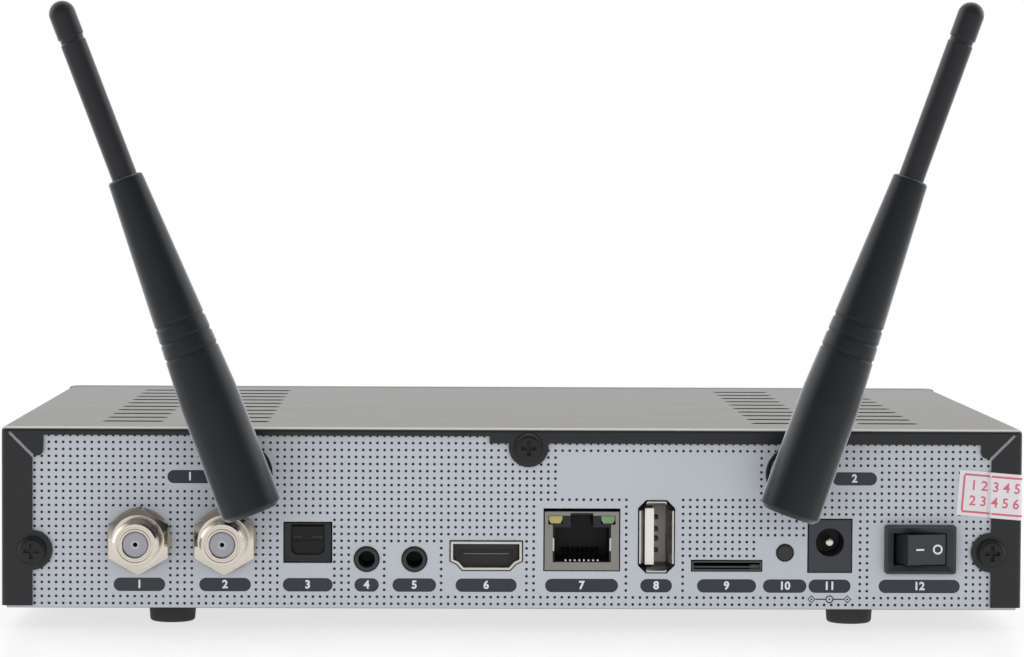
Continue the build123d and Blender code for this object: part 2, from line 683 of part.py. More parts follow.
# ---------------------------------------------------------------- front
def front_fascia():
    """Moulded front with a window opening, a key hole and four posts for the front board."""
    body = block((-HALF_WIDTH, HALF_WIDTH), (COVER_DEPTH, FRONT_Y), (0, CASE_HEIGHT))
    body = fillet(body.edges().filter_by(Axis.Z).sort_by(Axis.Y)[-2:], FASCIA_CORNER)
    body = fillet(body.faces().sort_by(Axis.Y)[-1].edges().filter_by(Axis.X), FASCIA_EDGE)
    hollow = HALF_WIDTH - FASCIA_CORNER
    body -= block((-hollow, hollow), (COVER_DEPTH - OVERSHOOT, FASCIA_IN),
                  (FASCIA_WALL, CASE_HEIGHT - FASCIA_WALL))
    clear = (COVER_DEPTH, FRONT_Y + OVERSHOOT)
    body -= block(around(0, WINDOW_WIDTH - 2 * WINDOW_LEDGE), clear,
                  around(MIDDLE_Z, WINDOW_HEIGHT - 2 * WINDOW_LEDGE))
    ledge = (FRONT_Y - WINDOW_THICKNESS, FRONT_Y + OVERSHOOT)
    body -= block(around(0, WINDOW_WIDTH), ledge, around(MIDDLE_Z, WINDOW_HEIGHT))
    body -= rod_y(STANDBY_X, MIDDLE_Z, STANDBY_RADIUS + SLIDE_GAP, clear)
    for x in (-POST_X, POST_X):
        for z in (FRONT_BOARD_LOW + POST_INSET, FRONT_BOARD_HIGH - POST_INSET):
            body += rod_y(x, z, POST_RADIUS, (FRONT_BOARD_FACE, FRONT_Y - FASCIA_WALL / 2))
    return body


def display_window():
    """Smoked window that sits in the fascia's ledge."""
    width = WINDOW_WIDTH - 2 * SEAT_GAP
    height = WINDOW_HEIGHT - 2 * SEAT_GAP
    return block(around(0, width), (FRONT_Y - WINDOW_THICKNESS, FRONT_Y), around(MIDDLE_Z, height))


def front_board():
    """Board behind the fascia, screwed to the fascia's four posts."""
    half = HALF_WIDTH - FRONT_BOARD_SIDE
    return block((-half, half), (FRONT_BOARD_BACK, FRONT_BOARD_FACE), (FRONT_BOARD_LOW, FRONT_BOARD_HIGH))


def display_module():
    """Four-digit light display soldered to the front board, each digit two sunk windows."""
    face = FASCIA_IN - SEAT_GAP
    body = block(around(0, DISPLAY_WIDTH), (FRONT_BOARD_FACE, face), around(MIDDLE_Z, DISPLAY_HEIGHT))
    for index in range(DIGITS):
        x = (index - (DIGITS - 1) / 2) * DIGIT_PITCH
        for rise in (-DIGIT_RISE, DIGIT_RISE):
            body -= block(around(x, DIGIT_WIDTH), (face - DIGIT_DEPTH, face + OVERSHOOT),
                          around(MIDDLE_Z + rise, DIGIT_HEIGHT))
    return body


def standby_button():
    """Round key in the fascia, kept in by a lip."""
    back = FASCIA_IN - STANDBY_LIP
    cap = rod_y(STANDBY_X, MIDDLE_Z, STANDBY_RADIUS, (back, FRONT_Y + STANDBY_PROUD))
    cap = fillet(cap.edges().sort_by(Axis.Y)[-1], STANDBY_PROUD / 2)
    lip = (back, FASCIA_IN - SLIDE_GAP)
    return cap + rod_y(STANDBY_X, MIDDLE_Z, STANDBY_RADIUS + STANDBY_LIP, lip)


def standby_switch():
    """Push switch behind the standby key."""
    tip = FASCIA_IN - STANDBY_LIP - STANDBY_TRAVEL - SEAT_GAP
    body = block(around(STANDBY_X, KEY_SWITCH_SIDE), (FRONT_BOARD_FACE, tip - KEY_PLUNGER),
                 around(MIDDLE_Z, KEY_SWITCH_SIDE))
    return body + rod_y(STANDBY_X, MIDDLE_Z, KEY_PLUNGER_RADIUS, (tip - KEY_PLUNGER - SEAT_GAP, tip))


def infrared_receiver():
    """Remote control sensor: a small block with a domed lens."""
    front = FRONT_BOARD_FACE + SENSOR_DEPTH
    body = block(around(SENSOR_X, SENSOR_WIDTH), (FRONT_BOARD_FACE, front), around(MIDDLE_Z, SENSOR_HEIGHT))
    return body + Pos(SENSOR_X, FRONT_BOARD_FACE + SENSOR_DOME, MIDDLE_Z) * Sphere(SENSOR_DOME)


# ---------------------------------------------------------------- main board and inside
def standoff_places():
    """The four pillars under the main board: x and y."""
    side = BOARD_HALF - STANDOFF_INSET
    rows = (BOARD_MIDDLE, BOARD_FRONT - STANDOFF_INSET)
    return [(x, y) for y in rows for x in (-side, side)]


def main_board():
    """Main circuit board on four pillars."""
    board = block((-BOARD_HALF, BOARD_HALF), (BOARD_REAR, BOARD_FRONT), (BOARD_BOTTOM, BOARD_TOP))
    drill = (BOARD_BOTTOM - OVERSHOOT, BOARD_TOP + OVERSHOOT)
    for x, y in standoff_places():
        board -= rod_z(x, y, STANDOFF_BORE + SLIDE_GAP, drill)
    return board


def board_standoffs():
    """Threaded pillars pressed into the tray."""
    pillars = []
    drill = (BOARD_BOTTOM - STANDOFF_BORE_DEPTH, BOARD_BOTTOM + OVERSHOOT)
    for x, y in standoff_places():
        pillar = rod_z(x, y, STANDOFF_RADIUS, (CHASSIS_SHEET, BOARD_BOTTOM))
        pillars.append(pillar - rod_z(x, y, STANDOFF_BORE, drill))
    return pillars


def board_screws():
    """Screws that hold the main board on its pillars."""
    length = BOARD_THICKNESS + BOARD_SCREW_GRIP
    screw = pan_head_screw(STANDOFF_BORE, BOARD_SCREW_HEAD, BOARD_SCREW_HEAD_HEIGHT, length)
    return [Pos(x, y, BOARD_TOP) * Rot(180, 0, 0) * screw for x, y in standoff_places()]


def main_chips():
    """Processor, two memory chips on one side of it and the flash chip on the other."""
    z = (BOARD_TOP, BOARD_TOP + CHIP_HEIGHT)
    chips = [block(around(CHIP_X, PROCESSOR_SIDE), around(BOARD_MIDDLE, PROCESSOR_SIDE), z)]
    for rise in (-MEMORY_RISE, MEMORY_RISE):
        chips.append(block(around(CHIP_X + CHIP_SPACING, MEMORY_WIDTH),
                           around(BOARD_MIDDLE + rise, MEMORY_LENGTH), z))
    chips.append(block(around(CHIP_X - CHIP_SPACING, FLASH_WIDTH), around(BOARD_MIDDLE, FLASH_LENGTH), z))
    return chips


def heat_sink():
    """Finned aluminium block on the processor."""
    low = BOARD_TOP + CHIP_HEIGHT
    depth = around(BOARD_MIDDLE, HEAT_SINK_SIDE)
    sink = block(around(CHIP_X, HEAT_SINK_SIDE), depth, (low, low + HEAT_SINK_PLATE))
    pitch = (HEAT_SINK_SIDE - HEAT_SINK_FIN) / (HEAT_SINK_FINS - 1)
    for index in range(HEAT_SINK_FINS):
        x = CHIP_X + (index - (HEAT_SINK_FINS - 1) / 2) * pitch
        sink += block(around(x, HEAT_SINK_FIN), depth, (low, low + HEAT_SINK_HEIGHT))
    return sink


def module_sockets():
    """The two cable sockets on the wireless module: x and y."""
    y = MODULE_Y - MODULE_DEPTH / 2 + MODULE_SOCKET_INSET
    return [(MODULE_X - MODULE_SOCKET_X, y), (MODULE_X + MODULE_SOCKET_X, y)]


def wifi_module():
    """Wireless module: a small board with a shielding can and two cable sockets."""
    top = BOARD_TOP + MODULE_BOARD
    module = block(around(MODULE_X, MODULE_WIDTH), around(MODULE_Y, MODULE_DEPTH), (BOARD_TOP, top))
    inset = 2 * MODULE_CAN_MARGIN
    can_y = MODULE_Y + MODULE_SOCKET_INSET
    module += block(around(MODULE_X, MODULE_WIDTH - inset), around(can_y, MODULE_DEPTH - inset),
                    (top, top + MODULE_CAN_HEIGHT))
    for x, y in module_sockets():
        module += rod_z(x, y, MODULE_SOCKET_RADIUS, (top, top + MODULE_SOCKET_RADIUS))
    return module


def antenna_pigtails():
    """Two thin coaxial leads from the antenna stems to the wireless module."""
    low = BOARD_TOP + MODULE_BOARD + MODULE_SOCKET_RADIUS
    start = STEM_LENGTH - PIGTAIL_SEAT
    leads = []
    for x, (end_x, end_y) in zip(ANTENNA_X, module_sockets()):
        points = [(x, start, ANTENNA_Z), (x, start + PIGTAIL_RUN, ANTENNA_Z),
                  (end_x, end_y, ANTENNA_Z), (end_x, end_y, low)]
        leads.append(cable(points, PIGTAIL_BEND, PIGTAIL_RADIUS))
    return leads


def ribbon_cable():
    """Flat cable that arches from the main board up to the back of the front board."""
    start = FRONT_BOARD_BACK - RIBBON_ARCH
    far = FRONT_BOARD_BACK - RIBBON_PLUG_DEPTH / 2
    top = BOARD_TOP + RIBBON_RISE
    header_z = BOARD_TOP + RIBBON_HEADER_RISE
    points = [(start, BOARD_TOP + OVERSHOOT), (start, top), (far, top), (far, header_z - OVERSHOOT)]
    outline = trace(FilletPolyline(*points, radius=RIBBON_BEND), RIBBON_THICKNESS)
    strip = extrude(Plane.YZ * outline, amount=RIBBON_WIDTH / 2, both=True)
    width = around(0, RIBBON_WIDTH + 2 * RIBBON_PLUG_MARGIN)
    plug = block(width, around(start, RIBBON_PLUG_DEPTH), (BOARD_TOP, BOARD_TOP + RIBBON_PLUG_HEIGHT))
    header = block(width, (FRONT_BOARD_BACK - RIBBON_PLUG_DEPTH, FRONT_BOARD_BACK),
                   around(header_z, RIBBON_PLUG_HEIGHT))
    return strip + plug + header


# ---------------------------------------------------------------- satellite sockets
def tuner_cans():
    """Screening cans that carry the satellite sockets."""
    cans = []
    y = (TUNER_BACK, TUNER_BACK + CAN_DEPTH)
    top = BOARD_TOP + CAN_HEIGHT
    for x in TUNER_X:
        can = block(around(x, CAN_WIDTH), y, (BOARD_TOP, top))
        can -= block(around(x, CAN_WIDTH - 2 * CAN_SHEET), (y[0] + CAN_SHEET, y[1] - CAN_SHEET),
                     (BOARD_TOP - OVERSHOOT, top - CAN_SHEET))
        cans.append(can - rod_y(x, TUNER_Z, TUNER_BORE, (y[0] - OVERSHOOT, y[0] + OVERSHOOT)))
    return cans


def tuner_connectors():
    """Threaded barrels; the thread stands at its full radius in front of the nut alone."""
    barrels = []
    front = -TUNER_REACH
    free_end = TUNER_NUT_FRONT - TUNER_RELIEF
    for x in TUNER_X:
        barrel = rod_y(x, TUNER_Z, TUNER_THREAD, (front, free_end))
        barrel = chamfer(barrel.edges().sort_by(Axis.Y)[0], TUNER_EDGE)
        barrel += rod_y(x, TUNER_Z, TUNER_PITCH_RADIUS, (free_end - OVERSHOOT, TUNER_BACK))
        groove = rod_y(x, TUNER_Z, TUNER_GROOVE, (front - OVERSHOOT, front + TUNER_GROOVE_WIDTH))
        groove -= rod_y(x, TUNER_Z, TUNER_GROOVE - TUNER_GROOVE_WIDTH, (front - 2 * OVERSHOOT, 0))
        bore = rod_y(x, TUNER_Z, TUNER_BORE, (front - OVERSHOOT, TUNER_BACK + OVERSHOOT))
        barrels.append(barrel - groove - bore)
    return barrels


def tuner_insulators():
    """Pale domed insulators inside the barrels, with a hole for the cable's core."""
    insulators = []
    front = -TUNER_REACH + TUNER_INSULATOR_INSET
    seat = -TUNER_CONTACT_SEAT
    for x in TUNER_X:
        plug = rod_y(x, TUNER_Z, TUNER_BORE, (front, TUNER_BACK))
        plug = fillet(plug.edges().sort_by(Axis.Y)[0], TUNER_INSULATOR_ROUND)
        plug -= rod_y(x, TUNER_Z, TUNER_CONTACT_HOLE, (front - OVERSHOOT, seat))
        insulators.append(plug - rod_y(x, TUNER_Z, TUNER_CONTACT, (seat, TUNER_BACK + OVERSHOOT)))
    return insulators


def tuner_contacts():
    """Brass contacts that take the cable's core and lead into the cans."""
    contacts = []
    seat = -TUNER_CONTACT_SEAT
    for x in TUNER_X:
        contact = rod_y(x, TUNER_Z, TUNER_CONTACT, (seat, TUNER_BACK + TUNER_CONTACT_TAIL))
        contacts.append(contact - rod_y(x, TUNER_Z, TUNER_CONTACT_HOLE, (seat - OVERSHOOT, TUNER_BACK)))
    return contacts


def tuner_nuts():
    """Hexagonal nuts, bevelled on the outer face, that clamp the sockets to the panel."""
    nut_y = (TUNER_NUT_FRONT, -TUNER_WASHER_THICKNESS)
    small = TUNER_NUT_FLATS / 2 + SLIDE_GAP
    large = small + TUNER_NUT_THICKNESS / tan(radians(TUNER_NUT_BEVEL))
    bevel = Cone(large, small, TUNER_NUT_THICKNESS, rotation=(90, 0, 0))
    nuts = []
    for x in TUNER_X:
        nut = hex_plate(x, TUNER_Z, TUNER_NUT_FLATS, nut_y)
        nut &= Pos(x, (nut_y[0] + nut_y[1]) / 2, TUNER_Z) * bevel
        nuts.append(nut - rod_y(x, TUNER_Z, TUNER_PITCH_RADIUS, (nut_y[0] - OVERSHOOT, OVERSHOOT)))
    return nuts


def tuner_washers():
    """Round washers under the nuts."""
    washers = []
    through = (-TUNER_WASHER_THICKNESS - OVERSHOOT, OVERSHOOT)
    for x in TUNER_X:
        washer = rod_y(x, TUNER_Z, TUNER_WASHER, (-TUNER_WASHER_THICKNESS, 0))
        washers.append(washer - rod_y(x, TUNER_Z, TUNER_THREAD, through))
    return washers


# ---------------------------------------------------------------- optical socket
def optical_hole_z():
    """Low and high edges of the plug's opening."""
    return around(OPTICAL_Z + OPTICAL_HOLE_RISE, OPTICAL_HOLE_HEIGHT)


def optical_outline(gap, top):
    """The opening's outline, with its two lower corners cut off, taken in by gap."""
    half = OPTICAL_HOLE_WIDTH / 2 - gap
    low = optical_hole_z()[0] + gap
    left = [(-half, top), (-half, low + OPTICAL_CORNER), (OPTICAL_CORNER - half, low)]
    right = [(-x, z) for x, z in reversed(left)]
    return [(OPTICAL_X + x, z) for x, z in left + right]


def shutter_hinge():
    """Axis of the shutter's hinge: y and z."""
    return (CHASSIS_SHEET, optical_hole_z()[1] - SHUTTER_PIN - SLIDE_GAP)


def optical_socket():
    """Black optical audio socket with a cavity behind its shutter and a ledge along its foot."""
    front = SOCKET_FACE
    body = through_panel(OPTICAL_X, OPTICAL_Z, OPTICAL_WIDTH, OPTICAL_HEIGHT, front, OPTICAL_DEPTH)
    body -= plate_xz(optical_outline(0, optical_hole_z()[1]), (front - OVERSHOOT, OPTICAL_HOLE_DEPTH))
    low = OPTICAL_Z - OPTICAL_HEIGHT / 2
    body -= block(around(OPTICAL_X, 2 * OPTICAL_WIDTH), (front - OVERSHOOT, front + OPTICAL_LEDGE_DEPTH),
                  (low - OVERSHOOT, low + OPTICAL_LEDGE))
    y, z = shutter_hinge()
    ears = around(OPTICAL_X, OPTICAL_HOLE_WIDTH + 2 * SHUTTER_EAR)
    return body - rod_x(y, z, SHUTTER_PIN + PIN_GAP, ears)


def optical_shutter():
    """Sprung flap hung from the top of the socket's mouth, with a raised band across it."""
    y, z = shutter_hinge()
    depth = around(y, SHUTTER_THICKNESS)
    flap = plate_xz(optical_outline(SLIDE_GAP, z), depth)
    band = around(OPTICAL_X, OPTICAL_HOLE_WIDTH - 2 * OPTICAL_CORNER)
    flap += block(band, (depth[0] - SHUTTER_BAND_PROUD, depth[1]), around(OPTICAL_Z, SHUTTER_BAND))
    ears = around(OPTICAL_X, OPTICAL_HOLE_WIDTH + 2 * SHUTTER_EAR - 4 * SLIDE_GAP)
    return flap + rod_x(y, z, SHUTTER_PIN, ears)


# ---------------------------------------------------------------- round jacks
def round_jacks():
    """Two 3.5 mm sockets: a block on the board with a round nose through the panel."""
    jacks = []
    behind = CHASSIS_SHEET + SLIDE_GAP
    for x in JACK_X:
        body = block(around(x, JACK_WIDTH), (behind, JACK_DEPTH), (BOARD_TOP, JACK_Z + JACK_TOP))
        nose = rod_y(x, JACK_Z, JACK_RING, (-JACK_RING_REACH, behind + OVERSHOOT))
        nose = fillet(nose.edges().sort_by(Axis.Y)[0], JACK_RING_ROUND)
        hole = rod_y(x, JACK_Z, JACK_BORE, (-JACK_RING_REACH - OVERSHOOT, JACK_HOLE_DEPTH))
        jacks.append(body + nose - hole)
    return jacks


# ---------------------------------------------------------------- video socket
def video_block(inset, y):
    """The socket's outline, its sides stepped in to a narrower floor, less inset, as a block."""
    half = VIDEO_WIDTH / 2
    low = VIDEO_Z - VIDEO_HEIGHT / 2
    high = VIDEO_Z + VIDEO_HEIGHT / 2
    shoulder = high - VIDEO_SHOULDER
    step = shoulder - VIDEO_STEP_DROP
    left = [(-half, high), (-half, shoulder), (VIDEO_STEP - half, step), (VIDEO_FOOT - half, low)]
    right = [(-x, z) for x, z in reversed(left)]
    face = make_face(Polyline(*(left + right), close=True))
    if inset:
        face = offset(face, amount=-inset, kind=Kind.INTERSECTION)
    return raise_xz(Pos(VIDEO_X, 0) * face, y)


def video_socket_shell():
    """Folded steel shell of the video socket, with four legs on the board."""
    shell = video_block(0, (-VIDEO_REACH, VIDEO_DEPTH))
    shell -= video_block(VIDEO_SHEET, (-VIDEO_REACH - OVERSHOOT, VIDEO_DEPTH - VIDEO_SHEET))
    for side in (-1, 1):
        x = VIDEO_X + side * (VIDEO_WIDTH - VIDEO_SHEET) / 2
        for y in (CHASSIS_SHEET + VIDEO_LEG_INSET, VIDEO_DEPTH - VIDEO_LEG):
            shell += block(around(x, VIDEO_SHEET), around(y, VIDEO_LEG), (BOARD_TOP, VIDEO_Z))
    return shell


def video_socket_tongue():
    """Black tongue that carries the contacts, rising from the socket's back."""
    back = VIDEO_DEPTH - VIDEO_SHEET
    tongue = block(around(VIDEO_X, VIDEO_TONGUE_WIDTH), (VIDEO_TONGUE_INSET, back),
                   around(VIDEO_Z + VIDEO_TONGUE_RISE, VIDEO_TONGUE))
    return tongue + video_block(VIDEO_SHEET + PIN_GAP, (back - VIDEO_WEB, back))


# ---------------------------------------------------------------- network socket
def network_light_x(side):
    """Middle of a status light."""
    return NETWORK_X + side * (NETWORK_WIDTH / 2 - NETWORK_TOP_FRAME - NETWORK_LIGHT_WIDTH / 2)


def network_light_z():
    """Low and high edges of the status lights."""
    top = NETWORK_TOP - NETWORK_TOP_FRAME - SLIDE_GAP
    return (top - NETWORK_LIGHT_HEIGHT, top)


def network_socket_shell():
    """Steel shield round the socket; its face is cut away for the plug, its latch and the lights."""
    sheet = NETWORK_SHEET
    front = NETWORK_FACE
    inner = around(NETWORK_X, NETWORK_WIDTH - 2 * sheet)
    behind = CHASSIS_SHEET + PANEL_GAP
    roof = NETWORK_TOP - sheet
    back = NETWORK_DEPTH + OVERSHOOT
    shell = through_panel(NETWORK_X, NETWORK_Z, NETWORK_WIDTH, NETWORK_HEIGHT, front, NETWORK_DEPTH)
    shell -= block(inner, (front + sheet, back), (NETWORK_LOW + sheet, roof))
    shell -= block(inner, (behind + sheet, back), (0, roof))
    face = (front - OVERSHOOT, front + sheet + SLIDE_GAP)
    shelf = NETWORK_TOP - NETWORK_TOP_FRAME - NETWORK_LIGHT_RECESS
    plug = around(NETWORK_X, NETWORK_WIDTH - 2 * NETWORK_FRAME)
    shell -= block(plug, face, (NETWORK_LOW + NETWORK_FRAME, shelf + SLIDE_GAP))
    lights = around(NETWORK_X, NETWORK_WIDTH - 2 * NETWORK_TOP_FRAME + 2 * SLIDE_GAP)
    shell -= block(lights, face, (shelf, NETWORK_TOP - NETWORK_TOP_FRAME))
    return shell - block(around(NETWORK_X, NETWORK_LATCH_WIDTH), face, (shelf, roof))


def network_socket_insert():
    """Black moulding inside the shield that guides the plug and its latch."""
    gap = PIN_GAP
    wall = NETWORK_SHEET + gap
    width = around(NETWORK_X, NETWORK_WIDTH - 2 * wall)
    top = NETWORK_TOP - wall
    insert = block(width, (NETWORK_FACE + wall, NETWORK_DEPTH), (NETWORK_LOW + wall, top))
    behind = CHASSIS_SHEET + PANEL_GAP + wall
    insert += block(width, (behind, NETWORK_DEPTH), (BOARD_TOP, top))
    deep = (-OVERSHOOT, NETWORK_HOLE_DEPTH)
    roof = NETWORK_FLOOR + NETWORK_HOLE_HEIGHT
    insert -= block(around(NETWORK_X, NETWORK_HOLE_WIDTH), deep, (NETWORK_FLOOR, roof))
    insert -= block(around(NETWORK_X, NETWORK_LATCH_WIDTH), deep, (NETWORK_FLOOR, top - wall))
    low, high = network_light_z()
    for side in (-1, 1):
        light = around(network_light_x(side), NETWORK_LIGHT_WIDTH + 2 * gap)
        insert -= block(light, (-OVERSHOOT, NETWORK_LIGHT_DEPTH), (low - gap, high + gap))
    return insert


def network_socket_contacts():
    """Eight spring wires that slope across the floor of the plug's cavity."""
    back = NETWORK_HOLE_DEPTH
    near = NETWORK_CONTACT_REACH
    thick = NETWORK_CONTACT_WIDTH
    low = NETWORK_FLOOR
    high = NETWORK_FLOOR + NETWORK_CONTACT_RISE
    tip = NETWORK_FLOOR + NETWORK_CONTACT_LOW
    bend = back - 3 * near
    outline = [(near, low), (near, tip), (near + thick, tip), (bend, high), (back, high),
               (back, high - thick), (bend, high - thick), (near + 3 * thick, low)]
    wire = extrude(Plane.YZ * make_face(Polyline(*outline, close=True)), amount=thick / 2, both=True)
    wires = []
    for index in range(NETWORK_CONTACTS):
        offset_x = (index - (NETWORK_CONTACTS - 1) / 2) * NETWORK_CONTACT_PITCH
        wires.append(Pos(NETWORK_X + offset_x, 0, 0) * wire)
    return wires


def network_light(side):
    """One status light in the socket's upper corner, its lower corners cut off."""
    x = network_light_x(side)
    low, high = network_light_z()
    half = NETWORK_LIGHT_WIDTH / 2
    waist = (low + high) / 2
    foot = half - NETWORK_LIGHT_CORNER
    outline = [(x - half, high), (x - half, waist), (x - foot, low),
               (x + foot, low), (x + half, waist), (x + half, high)]
    return plate_xz(outline, (NETWORK_FACE + NETWORK_SHEET + SLIDE_GAP, NETWORK_LIGHT_DEPTH))


# ---------------------------------------------------------------- usb socket
def usb_octagon(width, height, corner):
    """An upright rectangle with its corners cut off, at the socket's place."""
    return Pos(USB_X, USB_Z) * chamfer(Rectangle(width, height).vertices(), corner)


def usb_hole(y):
    """The panel's opening for the flared mouth."""
    grow = 2 * (USB_FLARE + PANEL_GAP)
    return raise_xz(usb_octagon(USB_WIDTH + grow, USB_HEIGHT + grow, USB_CORNER), y)


def usb_funnel(front, inset):
    """The flared mouth as a solid, from its rim at front back to the straight shell."""
    width = USB_WIDTH - 2 * inset
    height = USB_HEIGHT - 2 * inset
    flare = 2 * USB_FLARE
    rim = usb_octagon(width + flare, height + flare, USB_CORNER - inset / 2)
    throat = usb_octagon(width, height, USB_THROAT_CORNER)
    return loft([Pos(0, front, 0) * (Plane.XZ * rim), Pos(0, USB_FLARE_DEPTH, 0) * (Plane.XZ * throat)])


def usb_socket_shell():
    """Folded steel shell standing on its edge, flared at its mouth, with two feet."""
    sheet = USB_SHEET
    inner_w = around(USB_X, USB_WIDTH - 2 * sheet)
    inner_h = around(USB_Z, USB_HEIGHT - 2 * sheet)
    tube = (USB_FLARE_DEPTH - sheet, USB_DEPTH)
    shell = block(around(USB_X, USB_WIDTH), tube, around(USB_Z, USB_HEIGHT)) + usb_funnel(-USB_REACH, 0)
    shell -= usb_funnel(-USB_REACH - PIN_GAP, sheet)
    shell -= block(inner_w, (0, USB_DEPTH - sheet), inner_h)
    low = USB_Z - USB_HEIGHT / 2
    for y in (CHASSIS_SHEET + USB_FOOT_INSET, USB_DEPTH - USB_FOOT_INSET):
        shell += block(inner_w, around(y, USB_FOOT), (BOARD_TOP, low + sheet / 2))
    return shell


def usb_tongue_face():
    """Where the tongue starts and ends along X, beside the shell's left wall."""
    left = USB_X - USB_WIDTH / 2 + USB_SHEET + USB_TONGUE_GAP
    return (left, left + USB_TONGUE)


def usb_socket_tongue():
    """White tongue along the left wall, on a block at the socket's back."""
    height = USB_HEIGHT - 2 * USB_SHEET
    back = USB_DEPTH - USB_SHEET
    tongue = block(usb_tongue_face(), (USB_TONGUE_INSET, back), around(USB_Z, height - 2 * USB_TONGUE_MARGIN))
    width = USB_WIDTH - 2 * USB_SHEET - 2 * PIN_GAP
    return tongue + block(around(USB_X, width), (back - USB_WEB, back), around(USB_Z, height - 2 * PIN_GAP))


def usb_socket_contacts():
    """Four flat contacts on the tongue's right face, the outer two longer."""
    face = usb_tongue_face()[1]
    contacts = []
    for rise, length in USB_CONTACTS:
        contacts.append(block((face, face + USB_CONTACT_THICKNESS),
                              (USB_CONTACT_END - length, USB_CONTACT_END),
                              around(USB_Z + rise, USB_CONTACT_WIDTH)))
    return contacts


# ---------------------------------------------------------------- card socket, key, power socket
def card_socket():
    """Flat steel memory card slot on the board."""
    slot = through_panel(CARD_X, CARD_Z, CARD_WIDTH, CARD_HEIGHT, SOCKET_FACE, CARD_DEPTH)
    inner_w = around(CARD_X, CARD_WIDTH - 2 * CARD_SHEET)
    inner_h = around(CARD_Z, CARD_HEIGHT - 2 * CARD_SHEET)
    return slot - block(inner_w, (SOCKET_FACE - OVERSHOOT, CARD_DEPTH - CARD_STOP), inner_h)


def recovery_button():
    """Small key with a lip behind the panel and a stem back to its switch."""
    lip = (CHASSIS_SHEET + SLIDE_GAP, CHASSIS_SHEET + SLIDE_GAP + RECOVERY_LIP_THICKNESS)
    cap = rod_y(RECOVERY_X, RECOVERY_Z, RECOVERY_RADIUS, (-RECOVERY_PROUD, lip[1]))
    cap = fillet(cap.edges().sort_by(Axis.Y)[0], RECOVERY_ROUND)
    cap += rod_y(RECOVERY_X, RECOVERY_Z, RECOVERY_RADIUS + RECOVERY_LIP, lip)
    return cap + rod_y(RECOVERY_X, RECOVERY_Z, RECOVERY_STEM, (0, RECOVERY_LENGTH))


def recovery_switch():
    """Right-angle push switch behind the recovery key."""
    tip = RECOVERY_LENGTH + RECOVERY_TRAVEL + SEAT_GAP
    near = tip + KEY_PLUNGER
    body = block(around(RECOVERY_X, KEY_SWITCH_SIDE), (near, near + RECOVERY_SWITCH_DEPTH),
                 (BOARD_TOP, RECOVERY_Z + KEY_SWITCH_SIDE / 2))
    return body + rod_y(RECOVERY_X, RECOVERY_Z, RECOVERY_PLUNGER, (tip, near + SEAT_GAP))


def power_socket():
    """Black direct-current socket."""
    body = through_panel(POWER_X, POWER_Z, POWER_WIDTH, POWER_HEIGHT, SOCKET_FACE, POWER_DEPTH)
    hole = (SOCKET_FACE - OVERSHOOT, POWER_HOLE_DEPTH)
    return body - rod_y(POWER_X, POWER_Z + POWER_HOLE_RISE, POWER_BORE, hole)


def power_socket_pin():
    """Centre pin of the power socket."""
    pin = rod_y(POWER_X, POWER_Z + POWER_HOLE_RISE, POWER_PIN, (POWER_PIN_INSET, POWER_HOLE_DEPTH))
    return fillet(pin.edges().sort_by(Axis.Y)[0], POWER_PIN_ROUND)


# ---------------------------------------------------------------- rocker switch
def switch_rectangle(y, width, height):
    """An upright rectangle at the switch's place and a depth."""
    return Pos(SWITCH_X, y, SWITCH_Z) * Rot(90, 0, 0) * Rectangle(width, height)


def power_switch_frame():
    """Bezel, sloping in to its opening, and body of the rocker switch, one moulding."""
    outline = Pos(SWITCH_X, SWITCH_Z) * RectangleRounded(SWITCH_WIDTH, SWITCH_HEIGHT, SWITCH_ROUND)
    bezel = raise_xz(outline, (-SWITCH_BEZEL, 0))
    rim = 2 * SWITCH_BEZEL_RIM
    slope = loft([switch_rectangle(-SWITCH_BEZEL, SWITCH_WIDTH - rim, SWITCH_HEIGHT - rim),
                  switch_rectangle(-SWITCH_BEZEL_INNER, SWITCH_OPEN_WIDTH, SWITCH_OPEN_HEIGHT)])
    body = block(around(SWITCH_X, SWITCH_BODY_WIDTH), (0, SWITCH_DEPTH), around(SWITCH_Z, SWITCH_BODY_HEIGHT))
    well = block(around(SWITCH_X, SWITCH_OPEN_WIDTH), (-SWITCH_BEZEL - OVERSHOOT, SWITCH_DEPTH - SWITCH_FLOOR),
                 around(SWITCH_Z, SWITCH_OPEN_HEIGHT))
    pins = around(SWITCH_Z, rocker_height() + 2 * ROCKER_PIN_LENGTH + 2 * SLIDE_GAP)
    pivot = rod_z(SWITCH_X, ROCKER_PIVOT_DEPTH, ROCKER_PIN + PIN_GAP, pins)
    return bezel + body - slope - well - pivot


def rocker_height():
    """Width of the rocker across its pins."""
    return SWITCH_OPEN_HEIGHT - 2 * ROCKER_SIDE_GAP


def power_switch_rocker():
    """Rocker with its right end pressed in: a dished wedge with a keel, on two stub pins."""
    height = rocker_height()
    with BuildSketch() as profile:
        with BuildLine():
            crest = ThreePointArc((-ROCKER_HALF_TOP, ROCKER_CREST), (0, ROCKER_CREST - ROCKER_DISH),
                                  (ROCKER_HALF_TOP, ROCKER_CREST))
            Polyline(crest @ 1, (ROCKER_HALF_BASE, ROCKER_BASE), (ROCKER_HALF_KEEL, -ROCKER_KEEL),
                     (-ROCKER_HALF_KEEL, -ROCKER_KEEL), (-ROCKER_HALF_BASE, ROCKER_BASE), crest @ 0)
        make_face()
    rocker = extrude(profile.sketch, amount=height / 2, both=True)
    rocker += Cylinder(ROCKER_PIN, height + 2 * ROCKER_PIN_LENGTH)
    turned = Rot(180, 0, 0) * Rot(0, 0, -ROCKER_TILT) * rocker
    return Pos(SWITCH_X, ROCKER_PIVOT_DEPTH, SWITCH_Z) * turned


